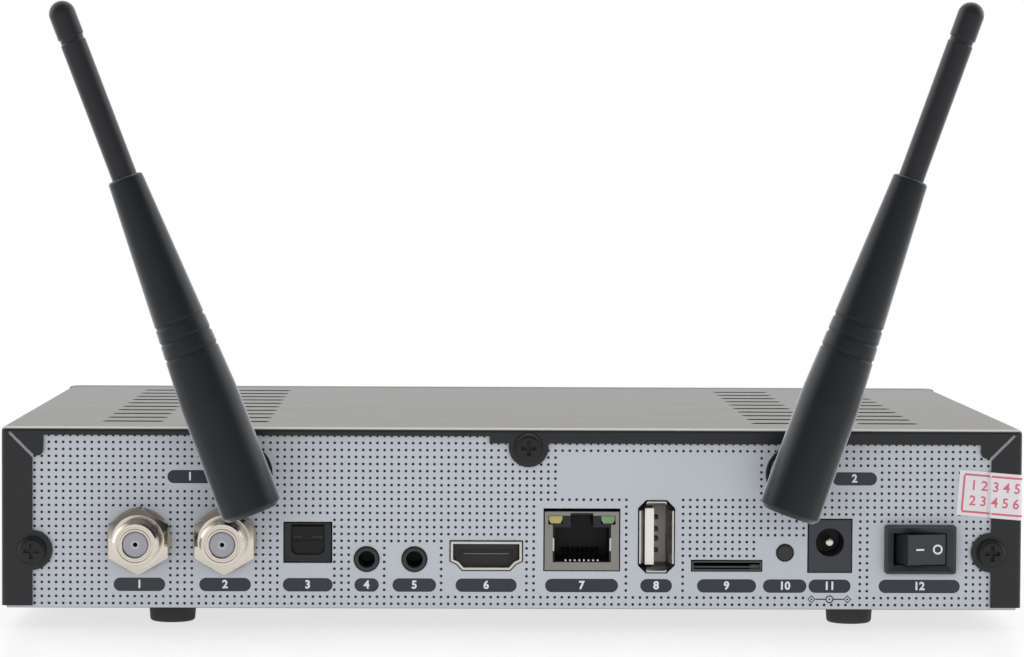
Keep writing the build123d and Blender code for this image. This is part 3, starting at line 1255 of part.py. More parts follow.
def power_switch_terminals():
    """Two flat blades at the back of the switch."""
    y = (SWITCH_DEPTH, SWITCH_DEPTH + BLADE_LENGTH)
    blade_z = around(SWITCH_Z, BLADE_WIDTH)
    return [block(around(x, BLADE_THICKNESS), y, blade_z) for x in around(SWITCH_X, BLADE_SPACING)]


def switch_wires():
    """Two insulated wires from the switch's blades down to the main board."""
    start = SWITCH_DEPTH + BLADE_LENGTH
    far = start + WIRE_REACH
    wires = []
    for x in around(SWITCH_X, BLADE_SPACING):
        points = [(x, start, SWITCH_Z), (x, far, SWITCH_Z), (x, far, BOARD_TOP)]
        wires.append(cable(points, WIRE_BEND, WIRE_RADIUS))
    return wires


# ---------------------------------------------------------------- antennas
def tilted(side, shape):
    """Put a piece drawn on an upright antenna, with its pivot at the origin, on its side."""
    pivot = Pos(ANTENNA_X[side], -ANTENNA_STANDOFF, ANTENNA_Z)
    return pivot * Rot(0, ANTENNA_TILT[side], 0) * shape


def antenna_base(side):
    """Fixed ring on the panel with a hollow stem through it."""
    x, z = ANTENNA_X[side], ANTENNA_Z
    ring = rod_y(x, z, BASE_RING_RADIUS, (-BASE_RING_THICKNESS, 0))
    ring = fillet(ring.edges().sort_by(Axis.Y)[0], BASE_RING_ROUND)
    stem = rod_y(x, z, STEM_RADIUS, (-BASE_RING_THICKNESS / 2, STEM_LENGTH))
    bore = (-BASE_RING_THICKNESS - OVERSHOOT, STEM_LENGTH + OVERSHOOT)
    return ring + stem - rod_y(x, z, STEM_RADIUS - STEM_WALL, bore)


def antenna_nuts():
    """Nuts inside the case that clamp the antenna bases."""
    y = (CHASSIS_SHEET, CHASSIS_SHEET + ANTENNA_NUT_THICKNESS)
    bore = (y[0] - OVERSHOOT, y[1] + OVERSHOOT)
    nuts = []
    for x in ANTENNA_X:
        nut = hex_plate(x, ANTENNA_Z, ANTENNA_NUT_FLATS, y)
        nuts.append(nut - rod_y(x, ANTENNA_Z, STEM_RADIUS, bore))
    return nuts


def antenna_swivel(side):
    """Turning collar with a flat tongue that enters the antenna's slot."""
    near = ANTENNA_STANDOFF - BASE_RING_THICKNESS - SLIDE_GAP
    far = near - COLLAR_THICKNESS
    swivel = rod_y(0, 0, COLLAR_RADIUS, (far, near))
    swivel = fillet(swivel.edges().sort_by(Axis.Y)[0], COLLAR_ROUND)
    swivel += rod_y(0, 0, STEM_RADIUS - STEM_WALL - PIN_GAP, (near - COLLAR_ROUND, near + JOURNAL_LENGTH))
    tongue = around(0, TONGUE_THICKNESS)
    swivel += block(tongue, (0, far + COLLAR_ROUND), around(0, 2 * TONGUE_RADIUS))
    swivel += rod_x(0, 0, TONGUE_RADIUS, tongue)
    hole = rod_x(0, 0, HINGE_PIN_RADIUS + PIN_GAP, around(0, TONGUE_THICKNESS + OVERSHOOT))
    return tilted(side, swivel - hole)


def hinge_pin():
    """The pin through the antenna's two ears, on an upright antenna."""
    return rod_x(0, 0, HINGE_PIN_RADIUS, around(0, 2 * (ANTENNA_BUTT_RADIUS - HINGE_PIN_INSET)))


def barrel_radius(height):
    """Outer radius of the barrel at a height above the pivot, on its upper taper."""
    share = (height - ANTENNA_WAIST) / (ANTENNA_SHOULDER - ANTENNA_WAIST)
    return ANTENNA_WAIST_RADIUS + share * (ANTENNA_SHOULDER_RADIUS - ANTENNA_WAIST_RADIUS)


def antenna_barrel(side):
    """Tapered sleeve with three fine grooves and a fork at its foot."""
    foot = -ANTENNA_TAIL
    edge = ANTENNA_SHOULDER_EDGE
    with BuildSketch(Plane.XZ) as half:
        with BuildLine():
            Polyline(
                (0, foot), (ANTENNA_BUTT_RADIUS - ANTENNA_TAIL_EDGE, foot),
                (ANTENNA_BUTT_RADIUS, foot + ANTENNA_TAIL_EDGE), (ANTENNA_WAIST_RADIUS, ANTENNA_WAIST),
                (ANTENNA_SHOULDER_RADIUS, ANTENNA_SHOULDER - edge),
                (ANTENNA_SHOULDER_RADIUS - edge, ANTENNA_SHOULDER), (0, ANTENNA_SHOULDER), close=True,
            )
        make_face()
    barrel = revolve(half.sketch, axis=Axis.Z)
    for height in ANTENNA_GROOVES:
        radius = barrel_radius(height)
        ring = rod_z(0, 0, radius + OVERSHOOT, around(height, ANTENNA_GROOVE_WIDTH))
        barrel -= ring - rod_z(0, 0, radius - ANTENNA_GROOVE_DEPTH, around(height, 2 * ANTENNA_GROOVE_WIDTH))
    room = TONGUE_RADIUS + 2 * SLIDE_GAP
    slot = around(0, TONGUE_THICKNESS + 2 * SLIDE_GAP)
    barrel -= block(slot, (-room, ANTENNA_BUTT_RADIUS + OVERSHOOT), (foot - OVERSHOOT, room))
    barrel -= rod_z(0, 0, MAST_RADIUS, (ANTENNA_SHOULDER - MAST_SOCKET, ANTENNA_SHOULDER + OVERSHOOT))
    return tilted(side, barrel - hinge_pin())


def antenna_mast(side):
    """Slim upper rod with a shallow neck under its rounded tip, pushed into the barrel."""
    start = ANTENNA_SHOULDER - MAST_SOCKET
    bulb = MAST_TIP - MAST_BULB_LENGTH
    neck = bulb - MAST_NECK_LENGTH
    dome = MAST_TIP - MAST_BULB_RADIUS
    slope = MAST_RADIUS - MAST_NECK_RADIUS
    with BuildSketch(Plane.XZ) as half:
        with BuildLine():
            Polyline((0, MAST_TIP), (0, start), (MAST_RADIUS, start), (MAST_RADIUS, neck - slope),
                     (MAST_NECK_RADIUS, neck), (MAST_NECK_RADIUS, bulb),
                     (MAST_BULB_RADIUS, bulb + MAST_BULB_EDGE), (MAST_BULB_RADIUS, dome))
            RadiusArc((MAST_BULB_RADIUS, dome), (0, MAST_TIP), -MAST_BULB_RADIUS)
        make_face()
    return tilted(side, revolve(half.sketch, axis=Axis.Z))


# ---------------------------------------------------------------- the whole object
write("chassis_tray", chassis_tray())
write("rubber_feet", *rubber_feet())
write("top_cover", top_cover())
write("cover_screws", *cover_screws())
write("seal_sticker", seal_sticker())
write("front_fascia", front_fascia())
write("display_window", display_window())
write("front_board", front_board())
write("display_module", display_module())
write("standby_button", standby_button())
write("standby_switch", standby_switch())
write("infrared_receiver", infrared_receiver())
write("main_board", main_board())
write("board_standoffs", *board_standoffs())
write("board_screws", *board_screws())
write("main_chips", *main_chips())
write("heat_sink", heat_sink())
write("wifi_module", wifi_module())
write("antenna_pigtails", *antenna_pigtails())
write("ribbon_cable", ribbon_cable())
write("tuner_cans", *tuner_cans())
write("tuner_connectors", *tuner_connectors())
write("tuner_insulators", *tuner_insulators())
write("tuner_contacts", *tuner_contacts())
write("tuner_nuts", *tuner_nuts())
write("tuner_washers", *tuner_washers())
write("optical_socket", optical_socket())
write("optical_shutter", optical_shutter())
write("round_jacks", *round_jacks())
write("video_socket_shell", video_socket_shell())
write("video_socket_tongue", video_socket_tongue())
write("network_socket_shell", network_socket_shell())
write("network_socket_insert", network_socket_insert())
write("network_socket_contacts", *network_socket_contacts())
write("network_light_amber", network_light(-1))
write("network_light_green", network_light(1))
write("usb_socket_shell", usb_socket_shell())
write("usb_socket_tongue", usb_socket_tongue())
write("usb_socket_contacts", *usb_socket_contacts())
write("card_socket", card_socket())
write("recovery_button", recovery_button())
write("recovery_switch", recovery_switch())
write("power_socket", power_socket())
write("power_socket_pin", power_socket_pin())
write("power_switch_frame", power_switch_frame())
write("power_switch_rocker", power_switch_rocker())
write("power_switch_terminals", *power_switch_terminals())
write("switch_wires", *switch_wires())
write("antenna_nuts", *antenna_nuts())
for side, label in enumerate(("left", "right")):
    write(label + "_antenna_base", antenna_base(side))
    write(label + "_antenna_swivel", antenna_swivel(side))
    write(label + "_antenna_pin", tilted(side, hinge_pin()))
    write(label + "_antenna_barrel", antenna_barrel(side))
    write(label + "_antenna_mast", antenna_mast(side))
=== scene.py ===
"""The looks of a small satellite television receiver with two folding antennas, round its CAD frame."""
from math import atan2, cos, pi, radians, sin, tan

import bmesh
import bpy
from mathutils import Matrix, Vector


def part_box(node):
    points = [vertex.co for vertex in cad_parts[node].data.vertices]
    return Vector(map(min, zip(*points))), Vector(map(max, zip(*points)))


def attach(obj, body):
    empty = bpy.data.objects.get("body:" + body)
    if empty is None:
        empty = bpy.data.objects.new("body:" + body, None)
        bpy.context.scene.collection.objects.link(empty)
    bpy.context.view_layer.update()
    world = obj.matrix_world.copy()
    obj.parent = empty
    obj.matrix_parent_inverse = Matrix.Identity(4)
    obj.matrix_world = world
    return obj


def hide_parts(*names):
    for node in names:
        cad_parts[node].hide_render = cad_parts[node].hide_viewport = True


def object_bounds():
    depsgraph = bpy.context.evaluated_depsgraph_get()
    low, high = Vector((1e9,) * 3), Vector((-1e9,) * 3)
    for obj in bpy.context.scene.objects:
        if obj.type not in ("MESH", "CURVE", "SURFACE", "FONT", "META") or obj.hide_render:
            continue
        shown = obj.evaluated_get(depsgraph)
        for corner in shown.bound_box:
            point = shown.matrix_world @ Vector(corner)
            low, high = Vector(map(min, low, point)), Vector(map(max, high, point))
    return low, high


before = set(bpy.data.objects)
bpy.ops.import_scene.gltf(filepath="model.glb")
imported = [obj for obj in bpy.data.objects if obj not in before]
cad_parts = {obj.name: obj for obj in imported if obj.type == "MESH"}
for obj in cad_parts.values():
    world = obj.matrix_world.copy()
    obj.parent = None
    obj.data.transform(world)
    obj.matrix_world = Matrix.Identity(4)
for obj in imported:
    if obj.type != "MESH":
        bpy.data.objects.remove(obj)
cad_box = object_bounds()
MM = 0.001

# ---------------------------------------------------------------- chassis tray
# One folded steel sheet: the base, the two side lips and the upright connector panel.
# The sheet is powder coated black, and the panel's outer face is silk-screened in a pale
# blue-grey with a fine grain.
tray_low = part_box("chassis_tray")[0]
PANEL_GREY = (181, 186, 193)
COAT_BLACK = (27, 28, 30)
BARE_STEEL = (150, 148, 144)
DUST_GREY = (150, 147, 142)
PRINT_DEPTH = 0.3


def tone(levels):
    """A screen colour, 0 to 255 a channel, as a scene colour."""
    shares = [level / 255 for level in levels]
    return tuple(s / 12.92 if s <= 0.04045 else ((s + 0.055) / 1.055) ** 2.4 for s in shares) + (1.0,)


def add(tree, kind, feeds=(), **settings):
    """A shader node with its settings made and its inputs set or fed."""
    made = tree.nodes.new("ShaderNode" + kind)
    for key, value in settings.items():
        setattr(made, key, value)
    for key, value in dict(feeds).items():
        if isinstance(value, bpy.types.NodeSocket):
            tree.links.new(value, made.inputs[key])
        else:
            made.inputs[key].default_value = value
    return made


def calc(tree, operation, first, second=0.0, clamp=False):
    """One step of arithmetic, or a test, on two values."""
    return add(tree, "Math", {0: first, 1: second}, operation=operation, use_clamp=clamp).outputs[0]


def ramp(tree, value, low, high, start=0.0, end=1.0, shape="LINEAR"):
    """A value carried from one range to another and held at both ends."""
    feeds = {"Value": value, "From Min": low, "From Max": high, "To Min": start, "To Max": end}
    return add(tree, "MapRange", feeds, interpolation_type=shape).outputs[0]


def blend(tree, share, first, second):
    """Two colours mixed, the second one by its share."""
    return add(tree, "MixRGB", {"Fac": share, "Color1": first, "Color2": second}).outputs[0]


def noise(tree, place, scale, detail):
    """A cloudy pattern at a place, with so many waves a metre."""
    return add(tree, "TexNoise", {"Vector": place, "Scale": scale, "Detail": detail}).outputs["Fac"]


def spot(tree):
    """The shaded point in the piece's own space, which is the frame's."""
    return add(tree, "TexCoord").outputs["Object"]


def axes(tree, vector):
    """A vector's parts, by the names X, Y and Z."""
    return add(tree, "SeparateXYZ", {0: vector}).outputs


def effect(name, inputs, outputs):
    """An empty shader node group with its named sockets, and its two end nodes."""
    tree = bpy.data.node_groups.new(name, "ShaderNodeTree")
    for label, kind, value in inputs:
        socket = tree.interface.new_socket(label, in_out="INPUT", socket_type="NodeSocket" + kind)
        socket.default_value = value
    for label, kind in outputs:
        tree.interface.new_socket(label, in_out="OUTPUT", socket_type="NodeSocket" + kind)
    return tree, tree.nodes.new("NodeGroupInput").outputs, tree.nodes.new("NodeGroupOutput").inputs


def close_effect(tree, ends, feeds):
    """Join the results to a group's outputs."""
    for label, socket in feeds.items():
        tree.links.new(socket, ends[label])
    return tree


CLOUD_SCALE = 45.0
CLOUD_RANGE = (0.35, 0.65)


def grain_effect():
    """Fine grain over broad, faint clouds: a colour, a roughness and a height."""
    tree, given, ends = effect(
        "grain",
        [("Size", "Float", 0.3), ("Stretch", "Vector", (1, 1, 1)), ("Tone", "Color", (0.5, 0.5, 0.5, 1)),
         ("Spread", "Float", 0.1), ("Smooth", "Float", 0.3), ("Rough", "Float", 0.5)],
        [("Color", "Color"), ("Roughness", "Float"), ("Height", "Float")])
    place = spot(tree)
    drawn = add(tree, "Mapping", {"Vector": place, "Scale": given["Stretch"]}).outputs["Vector"]
    fine = noise(tree, drawn, calc(tree, "DIVIDE", 1 / MM, given["Size"]), 3.0)
    cloud = noise(tree, place, CLOUD_SCALE, 2.0)
    centred = calc(tree, "SUBTRACT", calc(tree, "ADD", fine, cloud), 1.0)
    gain = calc(tree, "ADD", 1.0, calc(tree, "MULTIPLY", centred, given["Spread"]))
    colour = add(tree, "VectorMath", {0: given["Tone"], "Scale": gain}, operation="SCALE").outputs[0]
    rough = ramp(tree, cloud, *CLOUD_RANGE, given["Smooth"], given["Rough"], "SMOOTHERSTEP")
    return close_effect(tree, ends, {"Color": colour, "Roughness": rough, "Height": fine})


WEAR_SCALE = 350.0
WEAR_RANGE = (0.3, 0.7)
EDGE_RANGE = (0.96, 0.75)


def edge_effect():
    """Worn, slightly rounded edges: a broken-up mask and the rounded normal."""
    tree, given, ends = effect("worn_edge", [("Radius", "Float", 0.2), ("Wear", "Float", 1.0)],
                               [("Mask", "Float"), ("Normal", "Vector")])
    radius = calc(tree, "MULTIPLY", given["Radius"], MM)
    round_off = add(tree, "Bevel", {"Radius": radius}, samples=4).outputs["Normal"]
    flat = add(tree, "NewGeometry").outputs["True Normal"]
    alike = add(tree, "VectorMath", {0: round_off, 1: flat}, operation="DOT_PRODUCT").outputs["Value"]
    reach = ramp(tree, noise(tree, spot(tree), WEAR_SCALE, 3.0), *WEAR_RANGE, 0.0, given["Wear"])
    edge = ramp(tree, alike, *EDGE_RANGE, 0.0, reach)
    return close_effect(tree, ends, {"Mask": edge, "Normal": round_off})


FILM_SCALE = 90.0
SPECK_SCALE = 1600.0
SPECK_RANGE = (0.66, 0.72)
SPECK_SHARE = 0.6
LYING_RANGE = (0.5, 0.95)


def dust_effect():
    """A thin film of dust on what faces up, with a few larger specks."""
    tree, given, ends = effect("dust", [("Amount", "Float", 0.2)], [("Mask", "Float")])
    up = axes(tree, add(tree, "NewGeometry").outputs["Normal"])["Z"]
    place = spot(tree)
    specks = ramp(tree, noise(tree, place, SPECK_SCALE, 1.0), *SPECK_RANGE, 0.0, SPECK_SHARE)
    cover = calc(tree, "ADD", noise(tree, place, FILM_SCALE, 5.0), specks)
    lying = ramp(tree, up, *LYING_RANGE, 0.0, cover)
    return close_effect(tree, ends, {"Mask": calc(tree, "MULTIPLY", lying, given["Amount"], clamp=True)})


EFFECTS = {"grain": grain_effect(), "worn_edge": edge_effect(), "dust": dust_effect()}
RELIEF_STRENGTH = 0.6
PAINTED_SHEEN_RANGE = (0.6, 1.0)


def use(tree, name, feeds):
    """One of the shared effects in a material."""
    return add(tree, "Group", feeds, node_tree=EFFECTS[name]).outputs


def finish(name, colour, rough, metallic=0.0, size=0.3, spread=0.12, bump=0.02, stretch=(1, 1, 1),
           edge=0.2, worn=None, wear=0.0, dust=0.1, gloss=0.5, mask=None, masked=COAT_BLACK, painted_sheen=None):
    """A finish: grained colour, worn edges, dust on top, a fine relief, a second colour by place, painted
    sheen.
    """
    material = bpy.data.materials.new(name)
    material.use_nodes = True
    tree = material.node_tree
    shader = tree.nodes["Principled BSDF"].inputs
    grain = use(tree, "grain", {"Size": size, "Stretch": stretch, "Tone": tone(colour), "Spread": spread,
                                "Smooth": rough[0], "Rough": rough[1]})
    edges = use(tree, "worn_edge", {"Radius": edge, "Wear": wear})
    film = use(tree, "dust", {"Amount": dust})["Mask"]
    base = grain["Color"]
    if mask:
        base = blend(tree, mask(tree), base, tone(masked))
    base = blend(tree, edges["Mask"], base, tone(worn or colour))
    base = blend(tree, film, base, tone(DUST_GREY))
    # painted sheen: the base colour turns paler towards grazing view
    if painted_sheen:
        facing = add(tree, "LayerWeight", {"Blend": 0.5}).outputs["Facing"]
        base = blend(tree, ramp(tree, facing, *PAINTED_SHEEN_RANGE), base, tone(painted_sheen))
    relief = add(tree, "Bump", {"Strength": RELIEF_STRENGTH, "Distance": bump * MM,
                                "Height": grain["Height"], "Normal": edges["Normal"]}).outputs[0]
    tree.links.new(base, shader["Base Color"])
    tree.links.new(calc(tree, "ADD", grain["Roughness"], film, clamp=True), shader["Roughness"])
    tree.links.new(relief, shader["Normal"])
    shader["Metallic"].default_value = metallic
    shader["Specular IOR Level"].default_value = gloss
    return material


def adjust(material, settings):
    """Set further inputs of a finish's shader."""
    for label, value in settings.items():
        material.node_tree.nodes["Principled BSDF"].inputs[label].default_value = value


def paint(material, *nodes):
    """Give CAD pieces their finish."""
    for node in nodes:
        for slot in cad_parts[node].material_slots:
            slot.material = material


def behind_print(tree):
    """1 behind the printed face and 0 on it."""
    return calc(tree, "GREATER_THAN", axes(tree, spot(tree))["Y"], tray_low.y + PRINT_DEPTH * MM)


paint(finish("panel_print", PANEL_GREY, (0.42, 0.5), size=0.35, spread=0.1, bump=0.012, edge=0.3,
             worn=BARE_STEEL, wear=0.25, gloss=0.35, mask=behind_print), "chassis_tray")

# ---------------------------------------------------------------- print on the panel
# Silk-screened ink: a grid of small black dots that leaves bare ground round each socket,
# a dark rounded label under each socket with its number, and the power plug's polarity.
INK = 0.02
DOT_RADIUS = 0.31
DOT_SIDES = 8
DOT_PITCH = (1.5, 1.4775)
DOT_FIRST = (-100.6, 1.05)
DOT_COUNT = (135, 25)
DOT_BLACK = (18, 19, 23)
JACK_WIDTH = 7.0
ANTENNA_LABEL_SHIFT = (-11.2, 12.7)


def middles(node, width=None):
    """The middle of a piece along the panel, or of both pieces of a pair of that width, in mm."""
    low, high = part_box(node)
    if width is None:
        return [(low.x + high.x) / 2 / MM]
    return [low.x / MM + width / 2, high.x / MM - width / 2]


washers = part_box("tuner_washers")
power_x = middles("power_socket")[0]
socket_x = (
    middles("tuner_washers", (washers[1].z - washers[0].z) / MM) + middles("optical_socket")
    + middles("round_jacks", JACK_WIDTH) + middles("video_socket_shell")
    + middles("network_socket_shell") + middles("usb_socket_shell") + middles("card_socket")
    + middles("recovery_button") + [power_x] + middles("power_switch_frame"))
antenna_x = [middles(side + "_antenna_base")[0] for side in ("left", "right")]
antenna_labels = [(x, x + shift) for x, shift in zip(antenna_x, ANTENNA_LABEL_SHIFT)]
# each label's width, and the width and top of the bare ground over it
LABELS = ((10.85, 12.0, 20.9), (10.85, 12.0, 20.9), (10.5, 11.0, 19.4), (5.15, 6.0, 13.6), (9.2, 10.0, 13.6),
          (12.9, 16.6, 15.0), (15.4, 17.9, 22.3), (6.7, 10.6, 24.0), (12.5, 17.0, 10.9), (9.2, 11.4, 15.0),
          (8.9, 10.0, 19.5), (17.2, 19.4, 18.3))
BARE_FROM = 3.3
# half a width and a low edge round the polarity sign; half a width, a low and a high edge at each antenna
POLARITY_BARE = (5.0, 1.3)
RING_BARE = (6.9, 24.0, 33.3)
ANTENNA_LABEL_BARE = (5.2, 25.4, 30.0)
MARKS_BARE = (9.7, 51.6, 23.9, 32.9)


def piece(name, body, material, bm):
    """Make a finished mesh a piece of the object that rides on a body."""
    mesh = bpy.data.meshes.new(name)
    bm.to_mesh(mesh)
    bm.free()
    mesh.materials.append(material)
    made = bpy.data.objects.new(name, mesh)
    bpy.context.scene.collection.objects.link(made)
    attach(made, body)
    return made


def upright(x, z, proud=0.0):
    """Lays a flat shape drawn in mm on the panel, its face to the front, in mm from the tray's foot."""
    place = Matrix.Translation((x * MM, tray_low.y - proud * MM, tray_low.z + z * MM))
    return place @ Matrix.Rotation(pi / 2, 4, "X") @ Matrix.Scale(MM, 4)


def thicken(bm, faces, depth=INK):
    """Raise flat faces along their normal into closed plates."""
    raised = bmesh.ops.extrude_face_region(bm, geom=faces)
    lifted = [v for v in raised["geom"] if isinstance(v, bmesh.types.BMVert)]
    bmesh.ops.translate(bm, verts=lifted, vec=(0, 0, depth))
    bmesh.ops.recalc_face_normals(bm, faces=bm.faces)


def bare_zones():
    """The rectangles that the dot grid leaves bare: low and high x, low and high z."""
    zones = [(x - bare / 2, x + bare / 2, BARE_FROM, top) for x, (_, bare, top) in zip(socket_x, LABELS)]
    half, low = POLARITY_BARE
    zones += [(power_x - half, power_x + half, low, BARE_FROM), MARKS_BARE]
    for ring, label in antenna_labels:
        for x, (half, low, high) in ((ring, RING_BARE), (label, ANTENNA_LABEL_BARE)):
            zones.append((x - half, x + half, low, high))
    return zones


def dot_grid():
    """One small disc, copied along a row and the row copied upwards, less the bare zones."""
    bm = bmesh.new()
    bmesh.ops.create_circle(bm, cap_ends=True, segments=DOT_SIDES, radius=DOT_RADIUS)
    thicken(bm, list(bm.faces))
    for count, step in ((DOT_COUNT[0], (DOT_PITCH[0], 0, 0)), (DOT_COUNT[1], (0, DOT_PITCH[1], 0))):
        bmesh.ops.spin(bm, geom=bm.verts[:] + bm.edges[:] + bm.faces[:], cent=(0, 0, 0), axis=(0, 0, 1),
                       dvec=step, angle=0, steps=count - 1, use_duplicate=True)
    zones = bare_zones()
    gone = []
    for vert in bm.verts:
        x = DOT_FIRST[0] + round(vert.co.x / DOT_PITCH[0]) * DOT_PITCH[0]
        z = DOT_FIRST[1] + round(vert.co.y / DOT_PITCH[1]) * DOT_PITCH[1]
        if any(a < x < b and c < z < d for a, b, c, d in zones):
            gone.append(vert)
    bmesh.ops.delete(bm, geom=gone, context="VERTS")
    bm.transform(upright(*DOT_FIRST))
    return bm


def ink(name, colour):
    """Screen ink: matt, a little uneven."""
    return finish(name, colour, (0.5, 0.65), size=0.12, spread=0.25, bump=0.004, edge=0.01, dust=0.05)


piece("panel_dots", "case", ink("dot_ink", DOT_BLACK), dot_grid())

LABEL_HEIGHT = 2.85
LABEL_Z = 5.03
LABEL_SIDES = 32
LABEL_BLUE = (42, 46, 53)
ANTENNA_LABEL_SIZE = (9.45, 2.8)
ANTENNA_LABEL_Z = 27.8
NUMBER_WHITE = (214, 218, 224)
NUMBER_HEIGHT = 1.65
NUMBER_BOLD = 0.08
FIGURE_SHARE = 0.7


def gather(bm, part):
    """Move a finished part into a larger mesh."""
    loose = bpy.data.meshes.new("loose")
    part.to_mesh(loose)
    part.free()
    bm.from_mesh(loose)
    bpy.data.meshes.remove(loose)


def label_plates():
    """Dark plates with fully rounded ends, one under each socket and one by each antenna."""
    bm = bmesh.new()
    plates = [(x, LABEL_Z, width, LABEL_HEIGHT) for x, (width, _, _) in zip(socket_x, LABELS)]
    plates += [(label, ANTENNA_LABEL_Z, *ANTENNA_LABEL_SIZE) for _, label in antenna_labels]
    for x, z, width, height in plates:
        part = bmesh.new()
        turned = Matrix.Rotation(pi / LABEL_SIDES, 4, "Z")
        bmesh.ops.create_circle(part, cap_ends=True, segments=LABEL_SIDES, radius=height / 2, matrix=turned)
        for vert in part.verts:
            vert.co.x += (width - height) / 2 * (1 if vert.co.x > 0 else -1)
        thicken(part, list(part.faces))
        part.transform(upright(x, z))
        gather(bm, part)
    return bm


def figures(text, height, bold):
    """Plain figures as a thin mesh in mm, centred, lying face up."""
    curve = bpy.data.curves.new("figures", "FONT")
    curve.body = text
    curve.size = height / FIGURE_SHARE
    curve.align_x = "CENTER"
    curve.align_y = "CENTER"
    curve.offset = bold
    curve.extrude = INK / 2
    curve.resolution_u = 3
    holder = bpy.data.objects.new("figures", curve)
    bpy.context.scene.collection.objects.link(holder)
    bpy.context.view_layer.update()
    mesh = bpy.data.meshes.new_from_object(holder)
    bpy.data.objects.remove(holder)
    part = bmesh.new()
    part.from_mesh(mesh)
    bpy.data.meshes.remove(mesh)
    bmesh.ops.remove_doubles(part, verts=part.verts, dist=0.001)
    bmesh.ops.recalc_face_normals(part, faces=part.faces)
    return part


def label_numbers():
    """The white number on each label."""
    bm = bmesh.new()
    places = [(x, LABEL_Z, index) for index, x in enumerate(socket_x, 1)]
    places += [(label, ANTENNA_LABEL_Z, index) for index, (_, label) in enumerate(antenna_labels, 1)]
    for x, z, number in places:
        part = figures(str(number), NUMBER_HEIGHT, NUMBER_BOLD)
        part.transform(upright(x, z, INK))
        gather(bm, part)
    return bm


piece("label_plates", "case", ink("label_ink", LABEL_BLUE), label_plates())
piece("label_numbers", "case", ink("number_ink", NUMBER_WHITE), label_numbers())

POLARITY_Z = 2.25
POLARITY_SPAN = 7.6
POLARITY_LINE = 0.24
POLARITY_RING = 0.85
POLARITY_DOT = 0.2


def outline_ring(bm, sides, radius, line, x=0.0):
    """A flat ring, round or with a few corners, drawn in mm."""
    start = [bm.verts.new((x + radius, 0, 0)), bm.verts.new((x + radius - line, 0, 0))]
    edge = bm.edges.new(start)
    bmesh.ops.spin(bm, geom=[edge, *start], cent=(x, 0, 0), axis=(0, 0, 1), angle=2 * pi, steps=sides,
                   use_merge=True)


def bar(bm, middle, size, cuts=1):
    """A flat bar, drawn in mm."""
    place = Matrix.Translation((*middle, 0)) @ Matrix.Diagonal((*size, 1, 1))
    bmesh.ops.create_grid(bm, x_segments=cuts, y_segments=1, size=0.5, matrix=place)


def face_up(bm):
    """Turn each flat face's front to the viewer."""
    bm.normal_update()
    for face in bm.faces:
        if face.normal.z < 0:
            face.normal_flip()


def polarity_mark():
    """Two diamonds joined by a line to a ring with a dot."""
    bm = bmesh.new()
    half = POLARITY_SPAN / 2
    for x, sides in ((-half, 4), (half, 4), (0, 24)):
        outline_ring(bm, sides, POLARITY_RING, POLARITY_LINE, x)
    for x in (-half, 0, half):
        bmesh.ops.create_circle(bm, cap_ends=True, segments=12, radius=POLARITY_DOT,
                                matrix=Matrix.Translation((x, 0, 0)))
    for side in (-1, 1):
        bar(bm, (side * half / 2, 0), (half - 2 * POLARITY_RING, POLARITY_LINE))
    face_up(bm)
    thicken(bm, list(bm.faces))
    bm.transform(upright(power_x, POLARITY_Z))
    return bm


piece("polarity_mark", "case", ink("mark_ink", DOT_BLACK), polarity_mark())

# ---------------------------------------------------------------- main board and what it carries
# A green circuit board on four brass pillars, with moulded black chips, an extruded
# aluminium heat sink, a wireless module, thin black leads and a white ribbon cable.
paint(finish("board_mask", (24, 92, 52), (0.3, 0.42), size=1.2, spread=0.5, bump=0.03, edge=0.05, dust=0.2),
      "main_board", "front_board")
paint(finish("pillar_brass", (196, 164, 104), (0.25, 0.4), 1.0, size=0.4, stretch=(1, 1, 12)),
      "board_standoffs")
paint(finish("zinc_screw", (176, 175, 170), (0.3, 0.45), 1.0), "board_screws")
paint(finish("chip_epoxy", (38, 38, 39), (0.55, 0.7), size=0.15, spread=0.2), "main_chips")
paint(finish("sink_aluminium", (172, 174, 178), (0.3, 0.45), 1.0, stretch=(1, 0.05, 1)), "heat_sink")
can = finish("can_steel", (186, 184, 178), (0.22, 0.36), 1.0, size=0.5, spread=0.15, bump=0.01, edge=0.12,
             worn=(212, 210, 204), wear=0.5)
paint(can, "wifi_module", "tuner_cans")
paint(finish("lead_sheath", (36, 36, 38), (0.5, 0.65), size=0.4, spread=0.2),
      "antenna_pigtails", "switch_wires")
paint(finish("ribbon_white", (208, 207, 202), (0.5, 0.6), size=1.0, stretch=(1, 0.02, 0.02), spread=0.2),
      "ribbon_cable")

# ---------------------------------------------------------------- satellite sockets
# Turned brass barrels with a nickel plate and a fine outside thread, each held by a
# bevelled hexagon nut on a round washer. A milky plastic plug inside guides the core.
NICKEL = (217, 209, 198)
NICKEL_WORN = (236, 230, 220)
GROOVE_SHADE = (84, 74, 62)
GROOVE_SHADE_FALL = (0.08, 0.2)
GROOVE_SHADE_FROM = 0.55
SPIN_STEPS = 64
THREAD_PITCH = 0.79
THREAD_DEPTH = 0.36
THREAD_TURNS = 7
THREAD_START = 0.9
THREAD_STOP = 0.05
# along one turn of the thread: the groove's start and end, and the next crest
THREAD_GROOVE = (0.33, 0.43, 0.72)
BARREL_STEP = 0.12
BARREL_LIP = 0.42
# across the groove round the lip: the far end of its floor, its far edge, and its depth
BARREL_GROOVE = (0.5, 0.6, 0.4)
BARREL_CHAMFER = 0.5
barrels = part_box("tuner_connectors")
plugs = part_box("tuner_insulators")
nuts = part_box("tuner_nuts")
barrel_radius = (barrels[1].z - barrels[0].z) / 2
barrel_z = (barrels[1].z + barrels[0].z) / 2
barrel_bore = (plugs[1].z - plugs[0].z) / 2


